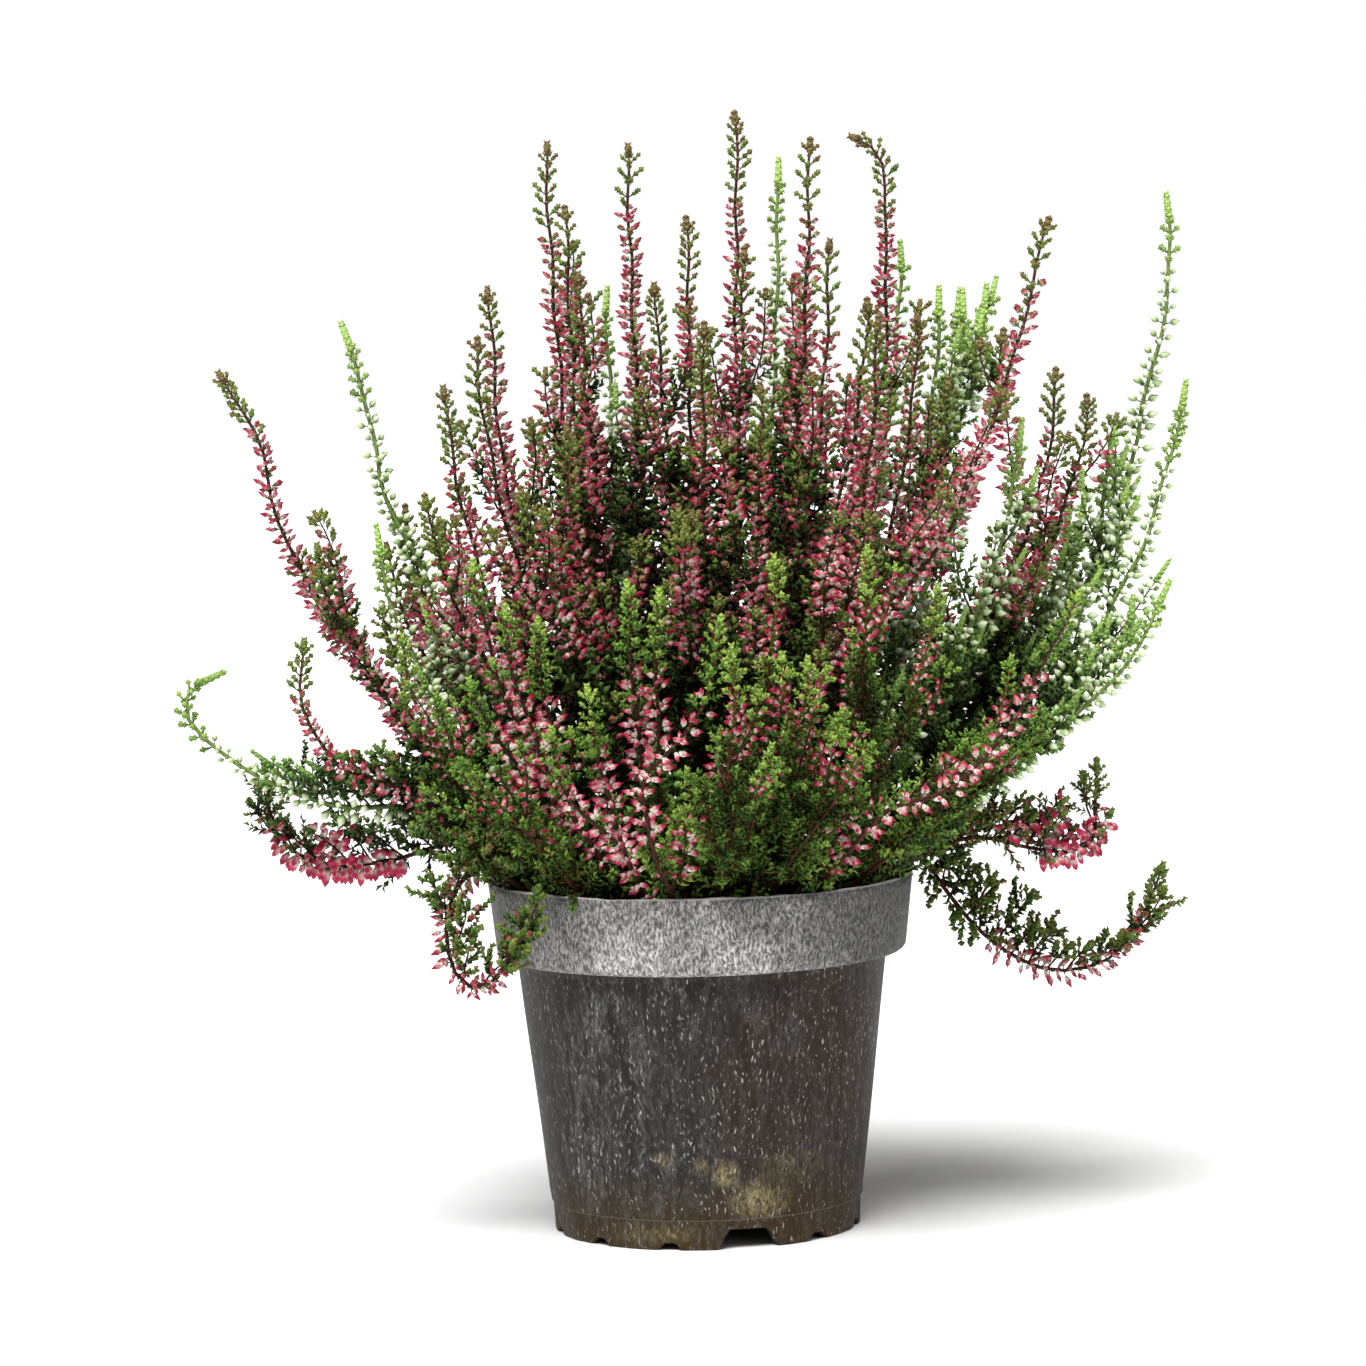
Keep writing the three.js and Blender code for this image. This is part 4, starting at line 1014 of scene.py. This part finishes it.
potSizes = {  # mm
    "rimRadius": 65.0, "height": 108.4, "wall": 1.4,
    "bandRadius": 62.7, "bandZ": 84.5, "bandRound": 2.2,  # at the band's lower edge, and how round this is
    "bodyTop": 56.6, "footTop": 47.2, "footTopZ": 9.0, "footRadius": 46.2, "floorZ": 7.0,
    "sides": 216, "notches": 3, "nicksPerNotch": 3, "firstNotchDeg": 15.4,
    "notch": (6.2, 12.0, 19.0), "nick": (2.2, 4.0, 7.0),  # depth, width at the top and at the bottom
    "waves": (0.16, 0.08, 0.15),  # how far the wall, in wide and narrow waves, and the foot leave a circle
    "ragged": (0.12, 0.1, 0.1),  # unevenness of the lip: two waves and a random part
}
potLooks = {
    "body": ("#1c1a19", "#2c2a28"), "warm": "#2c2119", "band": ("#181716", "#dedddb"), "haze": "#8f8f90",
    "brown": "#3a2c15", "flecks": "#d8d3c8", "seam": "#7d7466", "lip": "#c6c5c2", "stain": "#a19468",
    "cloud": 18.0,  # mm
    "bends": (6.0, 3.5),  # mm from bend to bend of the fibres, and how far they bend
    # layers of fibres: mm from one to the next across and upright, half width in shares of the first, tilt and
    # a shift that parts the layers
    "fibres": [(1.0, 5.0, 0.15, 0.0, 0), (1.2, 6.0, 0.13, 0.3, 7), (1.2, 5.4, 0.13, -0.3, 3),
               (2.6, 10.0, 0.09, 0.12, 11)],
    # noises drawn out upright: mm, how much, roughness and shades
    "grain": (0.9, 0.35, 0.6, [(0.4, 0.1), (0.66, 1.0)]),
    "streaks": (3.0, 0.12, 0.65, [(0.38, 0.0), (0.62, 1.0)]),
    "specks": (0.7, 0.4, 0.6, [(0.36, 0.12), (0.5, 0.4), (0.64, 0.9)]),
    # worn or stained spots: x and z in mm from the axis, radius across and upright, strength, on the front
    "worn": [(-29.5, 72, 7, 9, 0.9), (-20, 54, 5, 14, 0.8), (-36, 45, 9, 40, 0.65), (-8, 80, 9, 6, 0.45),
             (12, 70, 16, 9, 0.3), (-12, 30, 6, 20, 0.35)],
    "stained": [(5.5, 23.5, 4, 4, 0.9), (16, 15, 9, 6, 0.75), (-12, 28, 4, 3, 0.5), (-2, 26, 3, 3, 0.5),
                (-16, 5, 14, 4, 0.5), (26, 24, 10, 6, 0.35)],
    "spotDepth": (53, 50),  # mm from the axis to the middle of the spots, and their radius in depth
    # the silver of the band, brightest a little left of the middle as a painted sheen and brighter towards the
    # band's lower edge: mm from the axis or the ground where it begins and ends to change, and the shares
    # there
    "silverAndSheen": [("x", -62, -22, 0.2, 1.0), ("x", 8, 58, 1.0, 0.1), ("z", 108, 90, 0.6, 1.0)],
    "warmX": (-15, 30),  # mm from the axis, over which the right gets warmer
    "earthZ": (24, 2),  # mm above the ground, over which the foot gets browner
    # pale lines: z, half height and strength
    "lines": {"seam": (9.1, 0.3, 0.5), "lip": (108.4, 0.9, 1.0)},
}


def footEdge(angle):
    # how high the lower edge stands at each angle from the front: wide notches with nicks between them
    p = SimpleNamespace(**potSizes)
    edge = np.zeros_like(angle)
    perNotch = 1 + p.nicksPerNotch
    pitch = 2 * np.pi / (p.notches * perNotch)
    for cut in range(p.notches * perNotch):
        depth, top, bottom = p.nick if cut % perNotch else p.notch
        near = (angle - math.radians(p.firstNotchDeg) - cut * pitch + np.pi) % (2 * np.pi) - np.pi
        run = np.abs(near) * p.footRadius
        edge = np.maximum(edge, np.clip((bottom / 2 - run) / (bottom / 2 - top / 2), 0, 1) * depth)
    return edge


def potRings():
    # the pot's section from under its floor out, up, over the lip and down inside: part, radius and z
    p = SimpleNamespace(**potSizes)
    wall, bend = p.wall, p.bandRound
    rings = [("under", 20, p.floorZ - wall), ("under", p.footRadius - 2.4, p.floorZ - wall),
             ("inner", p.footRadius - 2.2, 0.0)]
    rings += [("foot", p.footRadius + out, z) for out, z in ((0.0, 0.0), (0.35, 0.25), (0.6, 0.6))]
    rings += [("body", p.footTop, p.footTopZ), ("body", p.footTop + 0.55, p.footTopZ + 0.35)]
    rings += [("body", p.footTop + 0.6 + (p.bodyTop - p.footTop - 0.6) * t,
               p.footTopZ + 0.5 + (p.bandZ - p.footTopZ - 0.5) * t) for t in np.linspace(0.04, 1, 24)]
    rings += [("band", p.bodyTop + 1.2, p.bandZ + 0.02)]
    rings += [("band", p.bandRadius - bend + bend * math.sin(a), p.bandZ + bend - bend * math.cos(a))
              for a in np.linspace(0, np.pi / 2, 5)]
    rings += [("band", p.bandRadius + (p.rimRadius - p.bandRadius) * t,
               p.bandZ + bend + (p.height - 0.5 - p.bandZ - bend) * t) for t in np.linspace(0.12, 1, 8)]
    rings += [("lip", p.rimRadius - 0.25, p.height - 0.1), ("lip", p.rimRadius - wall / 2, p.height),
              ("lip", p.rimRadius - wall + 0.2, p.height - 0.15), ("lip", p.rimRadius - wall, p.height - 0.6)]
    rings += [("inside", radius - wall, z) for radius, z in (
        (p.bandRadius, p.bandZ + bend + 0.4), (p.bodyTop, p.bandZ + wall), (p.footTop, p.floorZ + 0.8),
        (p.footTop - 0.8, p.floorZ))]
    rings += [("inside", 20, p.floorZ)]
    return rings


def potShape():
    p = SimpleNamespace(**potSizes)
    angle = np.linspace(0, 2 * np.pi, p.sides, endpoint=False)
    edge = footEdge(angle)
    rough = np.tile(np.random.default_rng(5).normal(0, 1, p.sides), 3)
    rough = np.convolve(rough, [0.25, 0.5, 0.25], "same")[p.sides:2 * p.sides]
    slow, quick, random = p.ragged
    ragged = slow * np.sin(angle * 7 + 1) + quick * np.sin(angle * 19) + random * rough
    wide, narrow, foot = p.waves
    rings = []
    for where, radius, z in potRings():
        level = np.full(len(angle), z, float)
        out = np.full(len(angle), radius, float)
        if where == "foot":
            level = edge + z * (1 - edge / 12)
        if where == "inner":
            level = np.minimum(edge, p.floorZ - p.wall - 0.05)
        if where == "lip":
            level += ragged - 0.2
        if radius > p.footTop + 0.7:
            out += wide * np.sin(3 * angle + 0.5 + z * 0.03) + narrow * np.sin(7 * angle + z * 0.09)
        if where in ("foot", "inner"):
            out += foot * np.sin(angle * 23) * (0.4 + 0.6 * np.sin(angle * 5))
        rings.append(np.stack([out * np.sin(angle), -out * np.cos(angle), level], 1))
    return closedRings(rings, [[0, 0, p.floorZ - p.wall], [0, 0, p.floorZ]])


def makePotPlastic():
    # moulded recycled plastic, half matt: charcoal, with pale hair-thin fibres that stand upright, streaks of
    # grey haze, a band of silver specks with a painted sheen left of its middle, and earth brown at the foot
    looks = potLooks
    material, tree, shader = newMaterial("moulded recycled plastic", {"IOR": 1.5, "Specular IOR Level": 0.1})
    where = addNode(tree, "TexCoord", output="Object")
    x, height = (addNode(tree, "SeparateXYZ", inputs={"Vector": where}, output=axis) for axis in ("X", "Z"))
    cloud = addNode(tree, "TexNoise", inputs={
        "Vector": where, "Scale": 1 / (looks["cloud"] * mm), "Detail": 4.0, "Roughness": 0.6})
    patch = addNode(tree, "ValToRGB", inputs={"Fac": cloud}, stops=[(0.38, 0.4), (0.6, 1.0)])
    bendSize, bendBy = looks["bends"]
    bends = addNode(tree, "TexNoise", inputs={
        "Vector": where, "Scale": 1 / (bendSize * mm), "Detail": 2.0}, output="Color")
    bent = addNode(tree, "VectorMath", timesPlus, {0: bends, 1: (bendBy * mm,) * 3, 2: where})

    fibre = 0.0
    for across, tall, size, tilt, shift in looks["fibres"]:
        place = addNode(tree, "VectorRotate", {"rotation_type": "EULER_XYZ"}, {
            "Vector": bent, "Rotation": (tilt, tilt, 0)})
        scale = [1 / (pitch * mm) for pitch in (across, across, tall)]
        place = addNode(tree, "Mapping", inputs={"Vector": place, "Scale": scale, "Location": (shift,) * 3})
        near, kind = (addNode(tree, "TexVoronoi", inputs={"Vector": place, "Scale": 1.0}, output=name)
                      for name in ("Distance", "Color"))
        dot = addNode(tree, "ValToRGB", inputs={"Fac": near}, stops=[(size * 0.7, 1.0), (size * 1.8, 0.0)])
        bright = addNode(tree, "ValToRGB", inputs={"Fac": kind}, stops=[(0.3, 0.05), (0.6, 0.3), (0.9, 1.0)])
        dot = addNode(tree, "Math", times, {0: dot, 1: bright})
        fibre = addNode(tree, "Math", {"operation": "MAXIMUM"}, {0: dot, 1: fibre})
    fibre = addNode(tree, "Math", times, {0: fibre, 1: patch})

    noises, shades = {}, {}
    for key in ("grain", "streaks", "specks"):
        size, drawn, rough, stops = looks[key]
        place = addNode(tree, "Mapping", inputs={"Vector": bent, "Scale": (1, 1, drawn)})
        noises[key] = addNode(tree, "TexNoise", inputs={
            "Vector": place, "Scale": 1 / (size * mm), "Detail": 3.0, "Roughness": rough})
        shades[key] = addNode(tree, "ValToRGB", inputs={"Fac": noises[key]}, stops=stops)

    masks = {}
    depth, depthRadius = looks["spotDepth"]
    for key in ("worn", "stained"):
        total = 0.0
        for spotX, spotZ, wide, tall, strength in looks[key]:
            place = addNode(tree, "VectorMath", {"operation": "SUBTRACT"}, {
                0: where, 1: (spotX * mm + potAxis[0], potAxis[1] - depth * mm, spotZ * mm)})
            place = addNode(tree, "VectorMath", times, {
                0: place, 1: [1 / (radius * mm) for radius in (wide, depthRadius, tall)]})
            far = addNode(tree, "VectorMath", {"operation": "LENGTH"}, {0: place}, output="Value")
            spot = addNode(tree, "MapRange", smooth, {
                "Value": far, "From Min": 0.2, "From Max": 1.4, "To Min": strength, "To Max": 0.0})
            total = addNode(tree, "Math", {"operation": "ADD"}, {0: spot, 1: total})
        masks[key] = addNode(tree, "Math", {**times, "use_clamp": True}, {0: total, 1: patch})

    # painted sheen: the band's silver specks are brightest a little left of the middle, and brighter towards
    # its lower edge
    fades = []
    for axis, first, last, low, high in looks["silverAndSheen"]:
        value, middle, settings = (x, potAxis[0], smooth) if axis == "x" else (height, 0.0, {})
        fades.append(addNode(tree, "MapRange", settings, {
            "Value": value, "From Min": middle + first * mm, "From Max": middle + last * mm, "To Min": low,
            "To Max": high}))
    silverAndSheen = fades[0]
    for factor in (*fades[1:], patch):
        silverAndSheen = addNode(tree, "Math", times, {0: silverAndSheen, 1: factor})

    # the body, from its own two greys to the flecks on top of all
    first, last = (srgb(colour) for colour in looks["body"])
    body = addNode(tree, "Mix", mix, {0: cloud, 6: first, 7: last}, output=2)
    warm = addNode(tree, "MapRange", smooth, {"Value": x, "From Min": potAxis[0] + looks["warmX"][0] * mm,
                                              "From Max": potAxis[0] + looks["warmX"][1] * mm})
    warm = addNode(tree, "Math", times, {0: warm, 1: patch})
    earth = addNode(tree, "MapRange", inputs={"Value": height, "From Min": looks["earthZ"][0] * mm,
                                              "From Max": looks["earthZ"][1] * mm})
    earth = addNode(tree, "Math", times, {0: earth, 1: 0.95})
    haze = addNode(tree, "Math", timesPlus, {0: masks["worn"], 1: 0.6, 2: 0.16})
    streaks = addNode(tree, "Math", times, {0: shades["streaks"], 1: shades["grain"]})
    haze = addNode(tree, "Math", times, {0: haze, 1: streaks})
    stain = addNode(tree, "Math", times, {0: masks["stained"], 1: shades["grain"]})
    flecks = addNode(tree, "Math", {**timesPlus, "use_clamp": True}, {0: masks["worn"], 1: 0.3, 2: 0.7})
    flecks = addNode(tree, "Math", times, {0: flecks, 1: fibre})
    for much, key in ((warm, "warm"), (earth, "brown"), (haze, "haze"), (stain, "stain"), (flecks, "flecks")):
        body = addNode(tree, "Mix", mix, {0: much, 6: body, 7: srgb(looks[key])}, output=2)

    # the band's specks take the painted sheen here
    sheenedSilver = addNode(tree, "MapRange", inputs={"Value": silverAndSheen, "To Min": 0.2, "To Max": 1.0})
    speck = addNode(tree, "Math", {"operation": "MAXIMUM"}, {0: shades["specks"], 1: fibre})
    speck = addNode(tree, "Math", times, {0: speck, 1: sheenedSilver})
    first, last = (srgb(colour) for colour in looks["band"])
    rim = addNode(tree, "Mix", mix, {0: speck, 6: first, 7: last}, output=2)
    bandZ = potSizes["bandZ"]
    isBand = addNode(tree, "MapRange", inputs={
        "Value": height, "From Min": (bandZ - 0.3) * mm, "From Max": (bandZ + 0.3) * mm})
    colour = addNode(tree, "Mix", mix, {0: isBand, 6: body, 7: rim}, output=2)
    for key, (centre, half, strength) in looks["lines"].items():
        off = addNode(tree, "Math", {"operation": "SUBTRACT"}, {0: height, 1: centre * mm})
        off = addNode(tree, "Math", {"operation": "ABSOLUTE"}, {0: off})
        line = addNode(tree, "MapRange", inputs={
            "Value": off, "From Min": half * mm, "From Max": 0.0, "To Max": strength})
        colour = addNode(tree, "Mix", mix, {0: line, 6: colour, 7: srgb(looks[key])}, output=2)
    tree.links.new(colour, shader.inputs["Base Color"])
    gloss = addNode(tree, "MapRange", inputs={"Value": noises["grain"], "To Min": 0.4, "To Max": 0.7})
    tree.links.new(gloss, shader.inputs["Roughness"])
    relief = addNode(tree, "Math", timesPlus, {0: fibre, 1: 0.5, 2: noises["grain"]})
    bump = addNode(tree, "Bump", inputs={"Height": relief, "Distance": 0.2 * mm, "Strength": 0.8})
    tree.links.new(bump, shader.inputs["Normal"])
    return material


pot = meshOf("nursery_pot", potShape(), [makePotPlastic()])
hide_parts("pot")
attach(pot, "root")
print("pot: done")


peatSizes = {  # mm
    "crumbs": 1400, "crumb": (0.5, 1.7), "rings": 26, "sides": 90,
    "clear": 0.35,  # from the pot's wall and floor
    "humps": (0.9, 0.31, 0.23, 0.6),  # height, how close in x and in y, and a shift
    "rough": 0.45,
    "grain": 1.4,
}


def humpAt(x, y):
    high, perX, perY, shift = peatSizes["humps"]
    return high * np.sin(x * perX) * np.cos(y * perY + shift)


def peatShape():
    # the root ball, with crumbs strewn over its top
    p, s = SimpleNamespace(**potSizes), SimpleNamespace(**peatSizes)
    top, bandTop = stems["soilTop"], p.bandZ + p.bandRound
    rise = (top - bandTop) / (p.height - bandTop)
    topRadius = p.bandRadius + (p.rimRadius - p.bandRadius) * rise - p.wall - s.clear
    angle = np.linspace(0, 2 * np.pi, s.sides, endpoint=False)
    wall = [(p.footTop - p.wall - 1.6, p.floorZ + s.clear), (p.bodyTop - p.wall - 0.6, p.bandZ + p.wall),
            (p.bandRadius - p.wall - 0.6, p.bandZ + 3.6)]
    surface = [(topRadius * (1 - t), top) for t in np.linspace(0, 0.99, s.rings)]
    rng = np.random.default_rng(9)
    rings = []
    for number, (radius, z) in enumerate(wall + surface):
        x, y = radius * np.sin(angle), -radius * np.cos(angle)
        level = np.full(len(angle), z, float)
        if number > len(wall):  # all but the edge of the surface
            level += humpAt(x, y) + rng.normal(0, s.rough, len(angle))
        rings.append(np.stack([x, y, level], 1))
    parts = [closedRings(rings, [[0, 0, p.floorZ + s.clear], [0, 0, top]], tint=0.3)]
    crumb = spindle(4, [(0.45, 0.5)], 0)
    radii = topRadius * np.sqrt(rng.uniform(0, 0.98, s.crumbs))
    turns = rng.uniform(0, 2 * np.pi, s.crumbs)
    for radius, turn in zip(radii, turns):
        x, y = radius * math.sin(turn), -radius * math.cos(turn)
        size = rng.uniform(*s.crumb)
        axes = frames(rng.normal(0, 1, 3), rng.normal(0, 1, 3))
        stretch = size * rng.uniform(0.6, 1.6, 3)
        centre = np.array([x, y, top + humpAt(x, y) + 0.3]) - axes[2] * stretch[2] / 2
        parts.append(placed(crumb, centre, axes, stretch, 0, rng.random()))
    return joined(parts)


def makePeat():
    # damp sphagnum peat: almost black crumbs with brown fibres, no gloss
    material, tree, shader = newMaterial("damp peat", {"Roughness": 0.92, "IOR": 1.35})
    where = addNode(tree, "TexCoord", output="Object")
    grain = addNode(tree, "TexNoise", inputs={
        "Vector": where, "Scale": 1 / (peatSizes["grain"] * mm), "Detail": 5.0, "Roughness": 0.7})
    colour = addNode(tree, "ValToRGB", inputs={"Fac": grain},
                     stops=[(0.3, "#0e0a08"), (0.55, "#22180f"), (0.75, "#4a3623")])
    tint = addNode(tree, "Attribute", {"attribute_name": "tint"}, output="Fac")
    tint = addNode(tree, "Math", times, {0: tint, 1: 0.3})
    colour = addNode(tree, "Mix", mix, {0: tint, 6: colour, 7: srgb("#33261a")}, output=2)
    bump = addNode(tree, "Bump", inputs={"Height": grain, "Distance": 0.6 * mm})
    tree.links.new(colour, shader.inputs["Base Color"])
    tree.links.new(bump, shader.inputs["Normal"])
    return material


peat = meshOf("peat_surface", peatShape(), [makePeat()])
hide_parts("soil")
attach(peat, "root")
print("peat: done")


studio = {
    "floorRadius": 6.0,
    "world": 0.16,  # light from all round
    "backdrop": 1.0,  # the same white where the camera sees past the plant
    "key": {"strength": 5.5, "spreadDeg": 44, "from": (-0.33, -0.85, 1.75)},
    "fill": {"strength": 0.4, "spreadDeg": 60, "from": (1.0, -0.6, 0.6)},
}


def makeStudio():
    sides, radius = 96, studio["floorRadius"]
    edge = [(radius * math.cos(turn), radius * math.sin(turn), 0)
            for turn in np.linspace(0, 2 * np.pi, sides, endpoint=False)]
    mesh = bpy.data.meshes.new("floor")
    mesh.from_pydata(edge, [], [list(range(sides))])
    floor = bpy.data.objects.new("floor", mesh)
    bpy.context.scene.collection.objects.link(floor)
    # matt white paint: a plain pale ground that takes the shadow
    material, tree, shader = newMaterial("matt white paint", {"Roughness": 0.9})
    where = addNode(tree, "TexCoord", output="Object")
    grain = addNode(tree, "TexNoise", inputs={"Vector": where, "Scale": 1 / 0.4, "Detail": 1.0})
    colour = addNode(tree, "ValToRGB", inputs={"Fac": grain}, stops=[(0.3, "#f6f6f6"), (0.7, "#f9f9f9")])
    tree.links.new(colour, shader.inputs["Base Color"])
    mesh.materials.append(material)
    world = bpy.data.worlds.new("studio")
    bpy.context.scene.world = world
    world.use_nodes = True
    tree = world.node_tree
    seen = addNode(tree, "LightPath", output="Is Camera Ray")
    strength = addNode(tree, "MapRange", inputs={
        "Value": seen, "To Min": studio["world"], "To Max": studio["backdrop"]})
    tree.nodes["Background"].inputs["Color"].default_value = (1, 1, 1, 1)
    tree.links.new(strength, tree.nodes["Background"].inputs["Strength"])
    for name in ("key", "fill"):
        light = bpy.data.lights.new(name, "SUN")
        light.energy = studio[name]["strength"]
        light.angle = math.radians(studio[name]["spreadDeg"])
        lamp = bpy.data.objects.new(name, light)
        lamp.rotation_mode = "QUATERNION"
        lamp.rotation_quaternion = Vector(studio[name]["from"]).to_track_quat("Z", "Y")
        bpy.context.scene.collection.objects.link(lamp)


makeStudio()
bpy.context.scene.view_settings.view_transform = "Standard"
print("studio: done")
